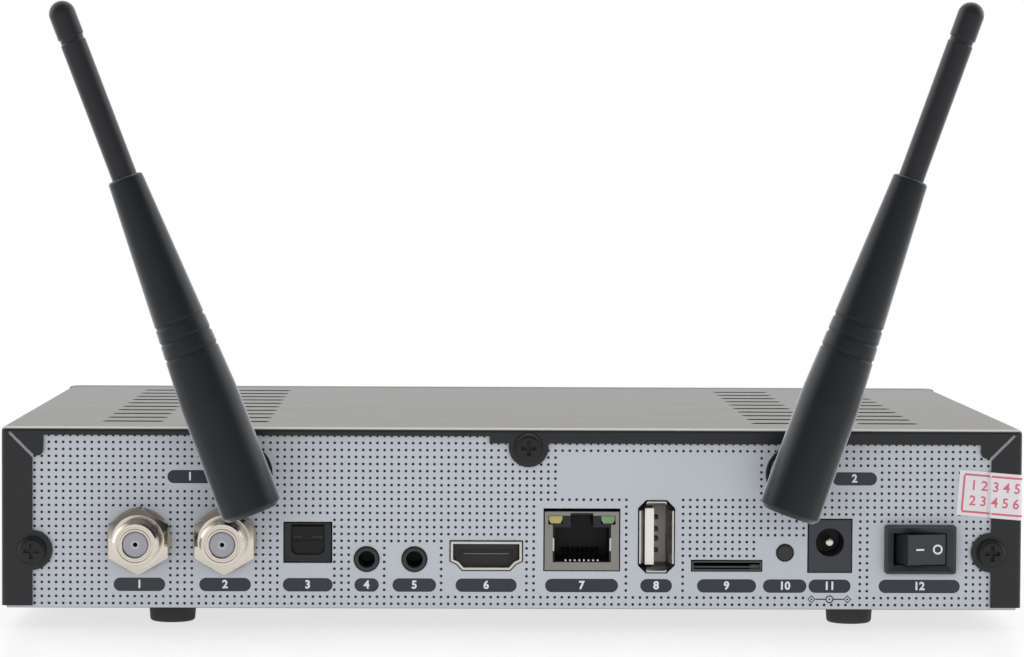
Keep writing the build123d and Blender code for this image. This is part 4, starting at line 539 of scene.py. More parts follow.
def spin_y(bm, outline, x, z):
    """Turn an outline of radius and depth, in metres, about a line along Y."""
    verts = [bm.verts.new((x + radius, y, z)) for radius, y in outline]
    edges = [bm.edges.new(pair) for pair in zip(verts, verts[1:] + verts[:1])]
    bmesh.ops.spin(bm, geom=verts + edges, cent=(x, 0, z), axis=(0, 1, 0), angle=2 * pi, steps=SPIN_STEPS,
                   use_merge=True)
    bmesh.ops.remove_doubles(bm, verts=bm.verts, dist=1e-7)
    bmesh.ops.recalc_face_normals(bm, faces=bm.faces)


def barrel_outline():
    """Half section of a threaded barrel, from its bore's front edge round to its back."""
    front, back = barrels[0].y, barrels[1].y
    crest = barrel_radius
    root = crest - THREAD_DEPTH * MM
    step = BARREL_STEP * MM
    lip = barrel_bore + BARREL_LIP * MM
    floor_end, far_edge, deep = [run * MM for run in BARREL_GROOVE]
    chamfer = BARREL_CHAMFER * MM
    outline = [(barrel_bore, front + step), (barrel_bore + step, front), (lip, front),
               (lip + step, front + deep), (lip + floor_end, front + deep),
               (lip + far_edge, front), (crest - chamfer, front), (crest, front + chamfer)]
    for turn in range(THREAD_TURNS):
        y = front + THREAD_START * MM + turn * THREAD_PITCH * MM
        fall, rise, top = [y + run * MM for run in THREAD_GROOVE]
        outline += [(crest, y), (root, fall), (root, rise), (crest, top)]
    return outline + [(root, nuts[0].y - THREAD_STOP * MM), (root, back), (barrel_bore, back)]


def threaded_barrels():
    """Both barrels with their threads."""
    bm = bmesh.new()
    for x in socket_x[:2]:
        part = bmesh.new()
        spin_y(part, barrel_outline(), x * MM, barrel_z)
        gather(bm, part)
    return bm


def axis_distance(tree):
    """The distance from the nearer satellite socket's axis."""
    place = axes(tree, spot(tree))
    middle = sum(socket_x[:2]) / 2 * MM
    apart = abs(socket_x[1] - socket_x[0]) / 2 * MM
    offset = calc(tree, "ABSOLUTE", calc(tree, "SUBTRACT", place["X"], middle))
    offset = calc(tree, "SUBTRACT", offset, apart)
    height = calc(tree, "SUBTRACT", place["Z"], barrel_z)
    flat = add(tree, "CombineXYZ", {0: offset, 1: height}).outputs[0]
    return add(tree, "VectorMath", {0: flat}, operation="LENGTH").outputs["Value"]


def thread_shade(tree):
    """1 in the thread's grooves, where shade is painted darker on the plate, 0 on its crests."""
    start, end = [barrel_radius - depth * MM for depth in GROOVE_SHADE_FALL]
    inside = ramp(tree, axis_distance(tree), start, end)
    behind = calc(tree, "GREATER_THAN", axes(tree, spot(tree))["Y"], barrels[0].y + GROOVE_SHADE_FROM * MM)
    return calc(tree, "MULTIPLY", inside, behind)


plated = finish("plated_thread", NICKEL, (0.16, 0.24), 1.0, size=0.8, bump=0.001, edge=0.04,
                worn=NICKEL_WORN, wear=0.4, dust=0.05, mask=thread_shade, masked=GROOVE_SHADE)
threads = piece("threaded_barrels", "case", plated, threaded_barrels())
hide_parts("tuner_connectors")

NUT_CUTS = 11
NUT_GRIP = 0.1
NUT_BEVEL_FROM = 0.77
NUT_BEVEL_SLOPE = 0.6


def turn_of(vert):
    """The angle of a point round the nut's axis."""
    return atan2(vert.co.z, vert.co.x)


def bevelled_nut():
    """A hexagon nut at the origin, point up, whose front corners are turned off to a cone."""
    part = bmesh.new()
    reach = (nuts[1].z - nuts[0].z) / 2
    thick = nuts[1].y - nuts[0].y
    circle = reach * NUT_BEVEL_FROM
    bore = barrel_radius - NUT_GRIP * MM
    bmesh.ops.create_circle(part, segments=6, radius=reach, matrix=Matrix.Rotation(pi / 2, 4, "X"))
    bmesh.ops.subdivide_edges(part, edges=part.edges[:], cuts=NUT_CUTS)
    rims = [list(part.edges)]
    for depth, radius in ((0, circle), (0, bore), (thick, bore), (thick, 0)):
        raised = bmesh.ops.extrude_edge_only(part, edges=rims[-1])["geom"]
        rims.append([e for e in raised if isinstance(e, bmesh.types.BMEdge)])
        for vert in [v for v in raised if isinstance(v, bmesh.types.BMVert)]:
            flat = Vector((vert.co.x, 0, vert.co.z))
            if radius:
                flat = flat.normalized() * radius
            vert.co = Vector((flat.x, depth, flat.z))
    outer, back = [sorted({v for e in rim for v in e.verts}, key=turn_of) for rim in (rims[0], rims[-1])]
    for vert, corner in zip(back, outer):
        vert.co.x, vert.co.z = corner.co.x, corner.co.z
    for vert in outer:
        vert.co.y = (Vector((vert.co.x, 0, vert.co.z)).length - circle) * NUT_BEVEL_SLOPE
    bmesh.ops.bridge_loops(part, edges=rims[0] + rims[-1])
    bmesh.ops.recalc_face_normals(part, faces=part.faces)
    return part


def bevelled_nuts():
    """Both nuts on their barrels."""
    bm = bmesh.new()
    for x in socket_x[:2]:
        part = bevelled_nut()
        bmesh.ops.translate(part, verts=part.verts, vec=(x * MM, nuts[0].y, barrel_z))
        gather(bm, part)
    return bm


nickel = finish("nickel_plate", NICKEL, (0.1, 0.2), 1.0, size=0.8, bump=0.001, edge=0.04,
                worn=NICKEL_WORN, wear=0.4, dust=0.05)
turned_nuts = piece("bevelled_nuts", "case", nickel, bevelled_nuts())
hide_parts("tuner_nuts")
# The washers are painted darker than the nickel as painted shade behind the nuts.
paint(finish("washer_shaded_plate", (150, 141, 130), (0.24, 0.34), 1.0, size=0.5, spread=0.2, bump=0.004,
             edge=0.08, worn=NICKEL_WORN, wear=0.3), "tuner_washers")

PLUG_HIGHLIGHT_RADII = (1.1, 0.5)
PLUG_HIGHLIGHT = (206, 204, 208)
PLUG_HIGHLIGHT_SHARE = 0.6


def plug_cone(tree):
    """A painted highlight round the plug's hole, fading outwards."""
    outer, inner = [radius * MM for radius in PLUG_HIGHLIGHT_RADII]
    return ramp(tree, axis_distance(tree), outer, inner, 0.0, PLUG_HIGHLIGHT_SHARE)


insulator = finish("milky_plug", (152, 151, 160), (0.2, 0.3), size=0.6, spread=0.1, bump=0.01,
                   mask=plug_cone, masked=PLUG_HIGHLIGHT)
adjust(insulator, {"Subsurface Weight": 0.35, "Subsurface Scale": MM})
paint(insulator, "tuner_insulators")
# The gold contacts are painted dark brown as painted shade inside the plug.
paint(finish("shaded_gold", (58, 48, 34), (0.3, 0.4), 0.8, spread=0.1), "tuner_contacts")

# ---------------------------------------------------------------- sockets along the panel
# Moulded black housings and folded steel shells, soldered to the board behind the panel.
# The network socket has two clear lights, and sprung steel tabs at the plug's sides.


def moulding(name, colour, worn):
    """A satin black moulding with lightly rubbed edges."""
    return finish(name, colour, (0.36, 0.48), size=0.2, spread=0.15, bump=0.012, edge=0.12, worn=worn,
                  wear=0.5, gloss=0.4)


paint(moulding("socket_moulding", (25, 28, 30), (62, 66, 70)), "optical_socket", "network_socket_insert")
paint(moulding("jack_moulding", (44, 48, 52), (74, 78, 84)), "round_jacks")
paint(moulding("power_moulding", (50, 53, 58), (84, 88, 94)), "power_socket")
paint(nickel, "power_socket_pin")
paint(finish("shutter_moulding", (15, 16, 18), (0.4, 0.5), size=0.2, spread=0.15, edge=0.15,
             worn=(50, 52, 54), wear=0.6, gloss=0.3), "optical_shutter")
paint(finish("tongue_moulding", (36, 36, 37), (0.5, 0.6), size=0.2, spread=0.15, edge=0.05, gloss=0.3),
      "video_socket_tongue")
bright = finish("bright_shell", (206, 204, 198), (0.16, 0.28), 1.0, size=0.4, bump=0.008, edge=0.12,
                worn=(236, 234, 228), wear=0.6)
paint(bright, "video_socket_shell")
paint(finish("slot_tin", (92, 91, 90), (0.34, 0.46), 1.0, size=0.5, edge=0.08, worn=(150, 148, 144),
             wear=0.5), "card_socket")
paint(finish("shield_tin", (152, 150, 145), (0.34, 0.46), 1.0, size=0.5, edge=0.15, worn=(206, 204, 196),
             wear=0.8), "network_socket_shell")
paint(finish("amber_lens", (166, 160, 92), (0.08, 0.16), size=0.5, edge=0.3, worn=(214, 210, 160), wear=0.8),
      "network_light_amber")
paint(finish("green_lens", (112, 144, 102), (0.08, 0.16), size=0.5, edge=0.3, worn=(180, 206, 168), wear=0.8),
      "network_light_green")
# The network contacts are gold, painted near black as painted shade.
paint(finish("shaded_contact", (26, 24, 20), (0.5, 0.6), 0.6, spread=0.1), "network_socket_contacts")
paint(finish("white_tongue", (226, 224, 218), (0.4, 0.5), spread=0.05), "usb_socket_tongue")
paint(finish("gold_flash", (222, 190, 120), (0.15, 0.25), 1.0, spread=0.1), "usb_socket_contacts")
paint(finish("key_moulding", (40, 41, 44), (0.45, 0.6), size=0.15, spread=0.15, bump=0.015, edge=0.15,
             worn=(84, 85, 88), wear=0.4),
      "recovery_button", "recovery_switch", "standby_button", "standby_switch")

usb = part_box("usb_socket_shell")
USB_LIPS = {"X": 2.1, "Z": 5.6}
USB_PAINTED_SHADE = (22, 22, 22)
USB_DEEP = (1.5, 3.0)
USB_DEEP_SHARE = 0.8


def usb_shade(tree):
    """Painted shade: 1 in the mouth's cut corners and deep in the shell, 0 on its four flared lips."""
    place = axes(tree, spot(tree))
    past = []
    for axis, half in USB_LIPS.items():
        middle = (getattr(usb[0], axis.lower()) + getattr(usb[1], axis.lower())) / 2
        distance = calc(tree, "ABSOLUTE", calc(tree, "SUBTRACT", place[axis], middle))
        past.append(calc(tree, "GREATER_THAN", distance, half * MM))
    corner = calc(tree, "MULTIPLY", *past)
    near, far = [usb[0].y + depth * MM for depth in USB_DEEP]
    return calc(tree, "MAXIMUM", corner, ramp(tree, place["Y"], near, far, 0.0, USB_DEEP_SHARE))


paint(finish("usb_shell", (212, 210, 204), (0.3, 0.4), 1.0, size=0.4, bump=0.004, edge=0.12,
             worn=(240, 238, 232), wear=0.5, mask=usb_shade, masked=USB_PAINTED_SHADE), "usb_socket_shell")

TAB_SIZE = (0.34, 0.9, 2.8)
TAB_PLACE = 6.02
TAB_DROP = 0.45
TAB_BEND = 0.35
TAB_PROUD = 0.05
TAB_SOFTEN = 0.06
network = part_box("network_socket_shell")
network_x = (network[0].x + network[1].x) / 2


def block(place, size, soften, bend=0.0):
    """A small rounded block, its size in mm, at a place in metres, its far end bent aside."""
    part = bmesh.new()
    scale = Matrix.Diagonal([side * MM for side in size] + [1])
    bmesh.ops.create_cube(part, size=1.0, matrix=Matrix.Translation(place) @ scale)
    inner = [v for v in part.verts if v.co.y > place[1]]
    bmesh.ops.translate(part, verts=inner, vec=(bend * MM, 0, 0))
    bmesh.ops.bevel(part, geom=part.edges[:], offset=soften * MM, segments=2, profile=0.5,
                    affect="EDGES", material=-1)
    return part


def blocks(places, size, soften=0.08):
    """Blocks of one size, at places in metres."""
    bm = bmesh.new()
    for place in places:
        gather(bm, block(place, size, soften))
    return bm


def spring_tabs():
    """A small sprung tab at each side of the plug's opening, its free end bent in."""
    bm = bmesh.new()
    depth = network[0].y + (TAB_SIZE[1] / 2 - TAB_PROUD) * MM
    height = (network[0].z + network[1].z) / 2 - TAB_DROP * MM
    for side in (-1, 1):
        place = (network_x + side * TAB_PLACE * MM, depth, height)
        gather(bm, block(place, TAB_SIZE, TAB_SOFTEN, -side * TAB_BEND))
    return bm


piece("network_spring_tabs", "case", bright, spring_tabs())

TIP_COUNT = 8
TIP_PITCH = 0.97
TIP_SIZE = (0.42, 0.5, 0.4)
TIP_DEPTH = 0.8
TIP_RISE = 2.6


def contact_tips():
    """Pale blocks at the eight contacts' lower ends along the foot of the plug's opening: painted glints."""
    start = network_x - (TIP_COUNT - 1) / 2 * TIP_PITCH * MM
    y, z = network[0].y + TIP_DEPTH * MM, network[0].z + TIP_RISE * MM
    return blocks([(start + index * TIP_PITCH * MM, y, z) for index in range(TIP_COUNT)], TIP_SIZE)


piece("network_contact_tips", "case", finish("contact_glint", (224, 222, 214), (0.3, 0.4), 0.2, size=0.2),
      contact_tips())

USB_SPRING_SIZE = (1.3, 2.2, 0.95)
USB_SPRING_RISE = (-3.0, -0.5, 1.5, 4.0)
USB_SPRING_DEPTH = 1.9
USB_SPRING_SOFTEN = 0.2
USB_TONGUE = 1.75


def usb_springs():
    """The four sprung contacts that bulge from the tongue."""
    low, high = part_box("usb_socket_tongue")
    x = low.x + (USB_TONGUE + USB_SPRING_SIZE[0] / 2) * MM
    y = low.y + USB_SPRING_DEPTH * MM
    middle = (low.z + high.z) / 2
    places = [(x, y, middle + rise * MM) for rise in USB_SPRING_RISE]
    return blocks(places, USB_SPRING_SIZE, USB_SPRING_SOFTEN)


piece("usb_contact_springs", "case", finish("bronze_spring", (52, 49, 44), (0.3, 0.4), 0.8), usb_springs())

VIDEO_WALL = 0.65
VIDEO_FLOOR_DEPTH = 0.3
VIDEO_FLOOR_THICK = 0.2
VIDEO_SIDE_SHARE = 0.36
VIDEO_FOOT_SHARE = 0.68
CONTACT_ROW_SIZE = (9.6, 0.2, 0.28)
CONTACT_ROW_DROP = 2.7
CONTACT_ROW_SOFTEN = 0.05
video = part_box("video_socket_shell")
video_x = (video[0].x + video[1].x) / 2
tongue_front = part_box("video_socket_tongue")[0].y


def video_floor():
    """The moulded floor round the tongue, shaped like the shell's mouth."""
    half = (video[1].x - video[0].x) / 2 / MM - VIDEO_WALL
    high = (video[1].z - video[0].z) / MM - 2 * VIDEO_WALL
    foot = half * VIDEO_FOOT_SHARE
    side = high * VIDEO_SIDE_SHARE
    bm = bmesh.new()
    outline = ((-foot, 0), (foot, 0), (half, side), (half, high), (-half, high), (-half, side))
    thicken(bm, [bm.faces.new([bm.verts.new((x, z, 0)) for x, z in outline])], VIDEO_FLOOR_THICK)
    bm.transform(Matrix.Rotation(pi / 2, 4, "X") @ Matrix.Scale(MM, 4))
    place = (video_x, tongue_front + VIDEO_FLOOR_DEPTH * MM, video[0].z + VIDEO_WALL * MM)
    bmesh.ops.translate(bm, verts=bm.verts, vec=place)
    return bm


piece("video_socket_floor", "case", finish("video_moulding", (44, 44, 46), (0.5, 0.6), size=0.2, gloss=0.3),
      video_floor())
contact_row = blocks([(video_x, tongue_front, video[1].z - CONTACT_ROW_DROP * MM)], CONTACT_ROW_SIZE,
                     CONTACT_ROW_SOFTEN)
piece("video_contact_row", "case", finish("contact_row", (112, 110, 106), (0.3, 0.4), 0.6, size=0.2),
      contact_row)

CARD_DEPTH = 0.9
CARD_RAIL = (14.9, 0.5, 0.4)
CARD_STOP = (2.3, 0.5, 0.95)
CARD_STOP_PLACE = (6.1, 0.1)
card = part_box("card_socket")


def card_moulding():
    """The guide rail and the card stop just inside the slot's mouth."""
    middle = (card[0].x + card[1].x) / 2
    height = (card[0].z + card[1].z) / 2
    depth = card[0].y + CARD_DEPTH * MM
    aside, deeper = [run * MM for run in CARD_STOP_PLACE]
    bm = blocks([(middle, depth, height)], CARD_RAIL)
    gather(bm, blocks([(middle + aside, depth + deeper, height)], CARD_STOP))
    return bm


piece("card_slot_moulding", "case", finish("card_rail", (74, 76, 80), (0.4, 0.5), size=0.2), card_moulding())

LIP_RING = (1.76, 2.1)
LIP_PROUD = 0.02
LIP_FOOT = (0.25, 0.3)
LIP_EDGE = 0.1
JACK_AXIS = 3.1
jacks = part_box("round_jacks")


def jack_lips():
    """A chamfered lip round each round jack's bore, painted pale as its ring highlight."""
    bm = bmesh.new()
    inner, outer = [radius * MM for radius in LIP_RING]
    high_foot, low_foot = [jacks[0].y + depth * MM for depth in LIP_FOOT]
    rim = jacks[0].y - LIP_PROUD * MM
    edge = LIP_EDGE * MM
    outline = [(inner, high_foot), (outer, rim), (outer, jacks[0].y + edge), (inner + edge, low_foot)]
    for x in socket_x[3:5]:
        part = bmesh.new()
        spin_y(part, outline, x * MM, jacks[1].z - JACK_AXIS * MM)
        gather(bm, part)
    return bm


piece("jack_lips", "case", finish("lip_highlight_moulding", (66, 70, 77), (0.3, 0.4), size=0.2, spread=0.1),
      jack_lips())

CREASE_BARS = ((-2.15, 1.6), (2.1, 2.2))
CREASE_THICK = 0.1
CREASE_HEIGHT = 0.13
CREASE_SOFTEN = 0.04
CREASE_DROP = 2.95
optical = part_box("optical_socket")
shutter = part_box("optical_shutter")


def shutter_crease():
    """Pale bars along the crease across the flap: painted highlights."""
    middle = (optical[0].x + optical[1].x) / 2
    height = optical[1].z - CREASE_DROP * MM
    bm = bmesh.new()
    for x, width in CREASE_BARS:
        place = (middle + x * MM, shutter[0].y, height)
        gather(bm, block(place, (width, CREASE_THICK, CREASE_HEIGHT), CREASE_SOFTEN))
    return bm


piece("shutter_crease", "shutter", finish("crease_highlight_paint", (84, 86, 87), (0.35, 0.45), size=0.2),
      shutter_crease())

# ---------------------------------------------------------------- rocker switch
# A black moulded bezel snapped into the panel and a dished rocker on two stub pins.
# The rocker carries the usual on and off signs in white ink.
SIGN_WHITE = (222, 223, 222)
SIGN_LINE = 0.36
SIGN_RING = (1.05, 3.2)
SIGN_BAR = (1.75, -0.62)
SIGN_SHIFT = 0.5
PRINT_LIFT = 0.005
paint(finish("bezel_moulding", (43, 45, 49), (0.4, 0.52), size=0.15, spread=0.15, bump=0.012,
             worn=(86, 88, 94), wear=0.6), "power_switch_frame")
paint(finish("rocker_moulding", (44, 47, 51), (0.35, 0.48), size=0.15, spread=0.15, bump=0.01,
             worn=(78, 80, 86), wear=0.4), "power_switch_rocker")
paint(can, "power_switch_terminals")
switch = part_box("power_switch_frame")


def press_on(verts, node):
    """Lay a flat print, drawn in front of a piece, onto that piece's real surface."""
    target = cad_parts[node]
    for vert in verts:
        before = Vector((vert.co.x, cad_box[0].y - 1.0, vert.co.z))
        hit, place, _, _ = target.ray_cast(before, Vector((0, 1, 0)))
        if hit:
            vert.co.y += place.y - PRINT_LIFT * MM


def rocker_signs():
    """A bar for on and a ring for off, pressed onto the dished rocker."""
    bm = bmesh.new()
    outline_ring(bm, 32, SIGN_RING[0], SIGN_LINE, SIGN_RING[1])
    bar(bm, (SIGN_BAR[1], 0), (SIGN_BAR[0], SIGN_LINE), 6)
    face_up(bm)
    thicken(bm, list(bm.faces))
    bm.transform(Matrix.Rotation(pi / 2, 4, "X") @ Matrix.Scale(MM, 4))
    place = ((switch[0].x + switch[1].x) / 2 + SIGN_SHIFT * MM, 0, (switch[0].z + switch[1].z) / 2)
    bmesh.ops.translate(bm, verts=bm.verts, vec=place)
    press_on(bm.verts, "power_switch_rocker")
    return bm


piece("rocker_signs", "rocker", ink("sign_ink", SIGN_WHITE), rocker_signs())

# ---------------------------------------------------------------- cover
# One folded steel sheet with a satin black powder coat, its rear flange lapped over the
# panel and held by three black cross-head screws. Four rubber feet are glued under the tray.
BEND_HIGHLIGHT = (186, 183, 178)
TOP_PAINTED_SHEEN = (96, 94, 90)
BEND_HIGHLIGHT_UP = (0.45, 0.7)
BEND_HIGHLIGHT_BACK = (-0.15, -0.4)


def rubbed_bend(tree):
    """1 on the bend along the top's rear edge, where a pale highlight is painted on the coat."""
    facing = axes(tree, add(tree, "NewGeometry").outputs["Normal"])
    up = ramp(tree, facing["Z"], *BEND_HIGHLIGHT_UP)
    return calc(tree, "MULTIPLY", up, ramp(tree, facing["Y"], *BEND_HIGHLIGHT_BACK))


# The coat carries a painted highlight along its rear bend and a painted sheen towards grazing view.
paint(finish("powder_coat", COAT_BLACK, (0.347, 0.353), size=0.45, spread=0.15, bump=0.012, edge=0.25,
             worn=(96, 95, 93), wear=0.35, dust=0.03, gloss=0.4, mask=rubbed_bend, masked=BEND_HIGHLIGHT,
             painted_sheen=TOP_PAINTED_SHEEN), "top_cover")
paint(finish("black_screw", (40, 40, 42), (0.3, 0.45), 0.6, size=0.2, edge=0.1, worn=(110, 108, 104),
             wear=0.6, dust=0.05), "cover_screws")
paint(finish("foot_rubber", (44, 44, 44), (0.6, 0.75), size=0.4, spread=0.2, bump=0.03), "rubber_feet")

# ---------------------------------------------------------------- seal
# A paper sticker pressed over the flange's edge and round the corner, a little crooked,
# with a red frame and plain figures.
SEAL_PAPER = (216, 212, 216)
SEAL_RED = (199, 99, 115)
SEAL_TILT = 4.6
SEAL_FRAME = (27.0, 7.85)
SEAL_LINE = 0.42
SEAL_CENTRE = (108.56, 23.9)
SEAL_EDGE_BENDS = (100.05, 100.2, 100.6, 101.0, 101.15)
SEAL_CORNER = 1.22
SEAL_CORNER_STEPS = 6
SEAL_ROWS = ((1.65, "1 2 3 4 5 6 7 8 9 0 1"), (-1.6, "2 3 4 5 6 7 8 9 0 1 2"))
SEAL_FIGURE = (2.05, 0.05)
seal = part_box("seal_sticker")


def round_corner(verts):
    """Carry what lies past the case's corner round the bend and along the side."""
    radius = SEAL_CORNER * MM
    start = seal[1].x - radius
    quarter = radius * pi / 2
    for vert in verts:
        run = vert.co.x - start
        angle = min(run / radius, pi / 2)
        along = max(run - quarter, 0)
        height = PRINT_LIFT * MM - vert.co.y
        x = start + (radius + height) * sin(angle)
        vert.co.z += (vert.co.x - x) * tan(radians(SEAL_TILT))
        vert.co.y = seal[0].y + radius - (radius + height) * cos(angle) + along
        vert.co.x = x


def seal_drawing():
    """The frame and two rows of figures, flat, in mm."""
    bm = bmesh.new()
    wide, high = SEAL_FRAME
    for side in (-1, 1):
        bar(bm, (0, side * high / 2), (wide, SEAL_LINE), 24)
        bar(bm, (side * wide / 2, 0), (SEAL_LINE, high - SEAL_LINE), 24)
    face_up(bm)
    thicken(bm, list(bm.faces))
    for z, text in SEAL_ROWS:
        part = figures(text, *SEAL_FIGURE)
        bmesh.ops.triangulate(part, faces=part.faces)
        bmesh.ops.translate(part, verts=part.verts, vec=(0, z, 0))
        gather(bm, part)
    return bm


def seal_print():
    """The drawing, tilted, cut along the sticker's bends and laid over them."""
    bm = seal_drawing()
    turned = Matrix.Rotation(pi / 2, 4, "X") @ Matrix.Rotation(-radians(SEAL_TILT), 4, "Z")
    bm.transform(turned @ Matrix.Scale(MM, 4))
    place = (SEAL_CENTRE[0] * MM, 0, tray_low.z + SEAL_CENTRE[1] * MM)
    bmesh.ops.translate(bm, verts=bm.verts, vec=place)
    corner = seal[1].x / MM - SEAL_CORNER
    arc = SEAL_CORNER * pi / 2 / SEAL_CORNER_STEPS
    bends = list(SEAL_EDGE_BENDS) + [corner + step * arc for step in range(SEAL_CORNER_STEPS + 1)]
    for x in bends:
        bmesh.ops.bisect_plane(bm, geom=bm.verts[:] + bm.edges[:] + bm.faces[:], plane_co=(x * MM, 0, 0),
                               plane_no=(1, 0, 0))
    flat = [v for v in bm.verts if v.co.x <= corner * MM]
    past = [v for v in bm.verts if v.co.x > corner * MM]
    press_on(flat, "seal_sticker")
    round_corner(past)
    return bm


paint(finish("seal_paper", SEAL_PAPER, (0.55, 0.7), size=0.25, spread=0.08, edge=0.05), "seal_sticker")
piece("seal_print", "case", ink("seal_ink", SEAL_RED), seal_print())

# ---------------------------------------------------------------- front
# A moulded fascia with a smoked window over a light display, a round standby key and a
# remote control sensor.
paint(finish("fascia_moulding", (36, 36, 38), (0.347, 0.353), spread=0.15, bump=0.008, edge=0.3,
             worn=(70, 70, 74), wear=0.3, dust=0.03), "front_fascia")
window = finish("smoked_window", (28, 28, 31), (0.04, 0.09), size=0.8, spread=0.05, bump=0.0, edge=0.1)
adjust(window, {"Transmission Weight": 0.6})
paint(window, "display_window")
paint(finish("display_housing", (66, 66, 66), (0.45, 0.6), spread=0.1), "display_module")
paint(finish("sensor_lens", (40, 24, 30), (0.1, 0.2), size=0.4, spread=0.1), "infrared_receiver")

# ---------------------------------------------------------------- antennas
# Each antenna is a satin black moulded sleeve over a slimmer rod, forked at its foot on a
# steel pin. The pin crosses the tongue of a collar that turns on a fixed ring on the panel.


def soft_plastic(name, colour, edge, worn, wear):
    """Satin plastic with a faint bluish bloom at its outline."""
    plastic = finish(name, colour, (0.3, 0.34), size=0.25, bump=0.006, edge=edge, worn=worn, wear=wear,
                     dust=0.05, gloss=0.28)
    adjust(plastic, {"Sheen Weight": 0.85, "Sheen Roughness": 0.32, "Sheen Tint": (0.86, 0.92, 1.0, 1.0)})
    return plastic


satin = soft_plastic("antenna_moulding", (19, 21, 24), 0.7, (64, 68, 74), 0.35)
rod = soft_plastic("mast_moulding", (30, 31, 33), 0.25, (70, 72, 76), 0.3)
pin_black = finish("pin_black", (56, 56, 58), (0.25, 0.4), 0.8, size=0.2, edge=0.1, worn=(130, 128, 124),
                   wear=0.5)
for antenna in ("left_antenna_", "right_antenna_"):
    paint(satin, antenna + "base", antenna + "swivel", antenna + "barrel")
    paint(rod, antenna + "mast")
    paint(pin_black, antenna + "pin")
paint(nickel, "antenna_nuts")

# ---------------------------------------------------------------- studio
# A white floor and surround, with wide soft lamps above and in front and weaker ones at the
# sides. Gloss shows the surround alone, so the lamps leave no hard highlights.
CAMERA_PLACE = (-0.014988, tray_low.y - 0.735518, 0.096187)
CAMERA_TURN = (87.4385, -0.2930, -1.1221)
CAMERA_LENS = 123.097
WORLD_LEVEL = 0.55
# each glow: where it starts and ends along its direction, and its level at both
FRONT_GLOW = (0.1, 0.4, 0.6, 0.2)
LEFT_GLOW = (-0.3, -0.85, 0.0, 2.0)
RIGHT_GLOW = (0.35, 0.9, 0.0, 2.0)
BESIDE_RANGE = (-0.4, 0.0)
BACK_RANGE = (0.0, 0.4)


def lamp(name, place, aim, size, power):
    """A soft rectangular lamp that faces a point."""
    light = bpy.data.lights.new(name, "AREA")
    light.shape = "RECTANGLE"
    light.size, light.size_y = size
    light.energy = power
    holder = bpy.data.objects.new(name, light)
    holder.location = place
    holder.rotation_euler = (Vector(aim) - Vector(place)).to_track_quat("-Z", "Y").to_euler()
    holder.visible_glossy = False
    bpy.context.scene.collection.objects.link(holder)


lamp("lamp_above", (0, 0.35, 1.1), (0, 0, 0), (1.6, 0.9), 12)
lamp("lamp_front", (-0.1, -1.5, 0.35), (0, 0, 0.03), (2.0, 0.7), 8)
lamp("lamp_left", (-1.0, 0.25, 0.3), (0, 0, 0.08), (0.6, 0.9), 5)
lamp("lamp_right", (1.0, 0.25, 0.3), (0, 0, 0.08), (0.6, 0.9), 6)


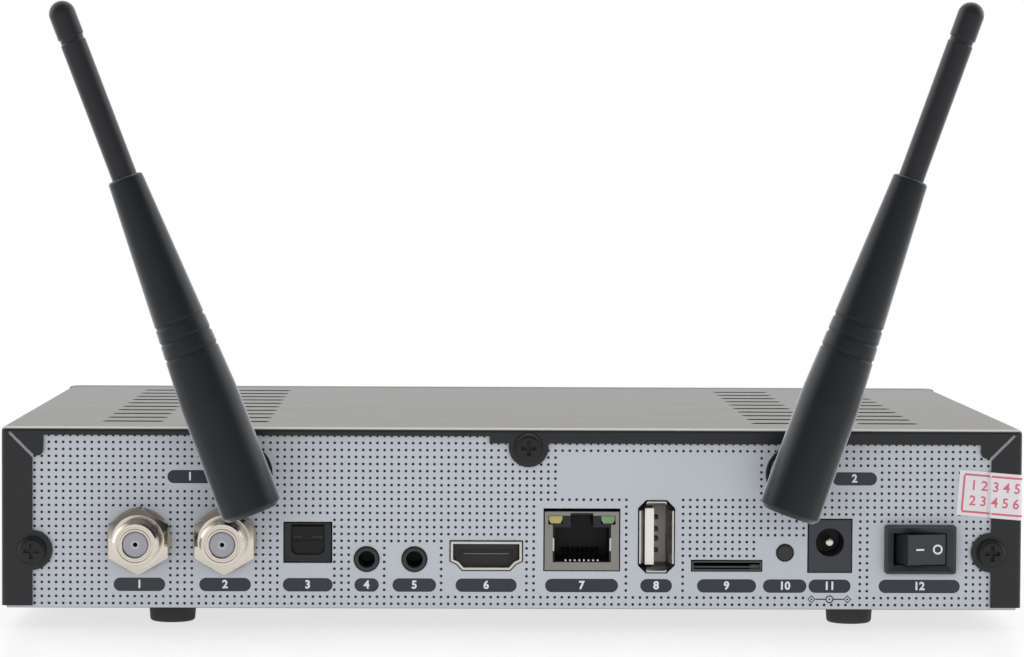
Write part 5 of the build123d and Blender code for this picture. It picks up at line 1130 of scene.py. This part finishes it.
def studio_world():
    """White to the camera and through glass; to gloss bright behind and beside, and dim in front."""
    world = bpy.data.worlds.new("studio")
    world.use_nodes = True
    tree = world.node_tree
    tree.nodes.clear()
    way = add(tree, "LightPath").outputs
    direction = axes(tree, add(tree, "TexCoord").outputs["Generated"])
    front = ramp(tree, direction["Z"], *FRONT_GLOW)
    left = ramp(tree, direction["X"], *LEFT_GLOW)
    right = ramp(tree, direction["X"], *RIGHT_GLOW)
    sides = calc(tree, "MAXIMUM", left, right)
    sides = calc(tree, "MULTIPLY", sides, ramp(tree, direction["Y"], *BESIDE_RANGE))
    around = calc(tree, "MAXIMUM", sides, ramp(tree, direction["Y"], *BACK_RANGE))
    gloss = calc(tree, "MAXIMUM", front, around)
    seen = calc(tree, "MAXIMUM", way["Is Camera Ray"], way["Is Transmission Ray"])
    level = blend(tree, way["Is Glossy Ray"], (WORLD_LEVEL, WORLD_LEVEL, WORLD_LEVEL, 1), gloss)
    level = blend(tree, seen, level, (1, 1, 1, 1))
    shine = add(tree, "Background", {"Color": level, "Strength": 1.0}).outputs[0]
    tree.links.new(shine, add(tree, "OutputWorld").inputs["Surface"])
    bpy.context.scene.world = world


studio_world()

FLOOR_SIZE = 6.0
FLOOR_GREY = (0.85, 0.85, 0.85, 1)
FLOOR_ROUGH = 0.25
# the fade to white: its near and far distance, and its share at both
FLOOR_FADE = (0.12, 0.4, 0.72, 1.0)
FLOOR_BOUNCE = 0.7


def studio_floor():
    """A pale floor that keeps the shadow and a faint reflection, and fades to white."""
    bm = bmesh.new()
    bmesh.ops.create_grid(bm, x_segments=1, y_segments=1, size=FLOOR_SIZE / 2)
    mesh = bpy.data.meshes.new("floor")
    bm.to_mesh(mesh)
    bm.free()
    floor = bpy.data.objects.new("floor", mesh)
    bpy.context.scene.collection.objects.link(floor)
    material = bpy.data.materials.new("floor_white")
    material.use_nodes = True
    adjust(material, {"Base Color": FLOOR_GREY, "Roughness": FLOOR_ROUGH})
    tree = material.node_tree
    way = add(tree, "LightPath").outputs
    seen = calc(tree, "MAXIMUM", way["Is Camera Ray"], way["Is Glossy Ray"])
    distance = add(tree, "VectorMath", {0: spot(tree)}, operation="LENGTH").outputs["Value"]
    share = ramp(tree, seen, 0.0, 1.0, FLOOR_BOUNCE, ramp(tree, distance, *FLOOR_FADE))
    white = add(tree, "Emission", {"Color": (1, 1, 1, 1), "Strength": 1.0}).outputs[0]
    grey = tree.nodes["Principled BSDF"].outputs[0]
    mixed = add(tree, "MixShader", {0: share, 1: grey, 2: white}).outputs[0]
    tree.links.new(mixed, tree.nodes["Material Output"].inputs["Surface"])
    mesh.materials.append(material)


studio_floor()
lens = bpy.data.cameras.new("camera")
lens.lens = CAMERA_LENS
lens.sensor_width = 36.0
camera = bpy.data.objects.new("camera", lens)
camera.location = CAMERA_PLACE
camera.rotation_euler = [radians(angle) for angle in CAMERA_TURN]
bpy.context.scene.collection.objects.link(camera)
bpy.context.scene.camera = camera
bpy.context.scene.view_settings.view_transform = "Standard"
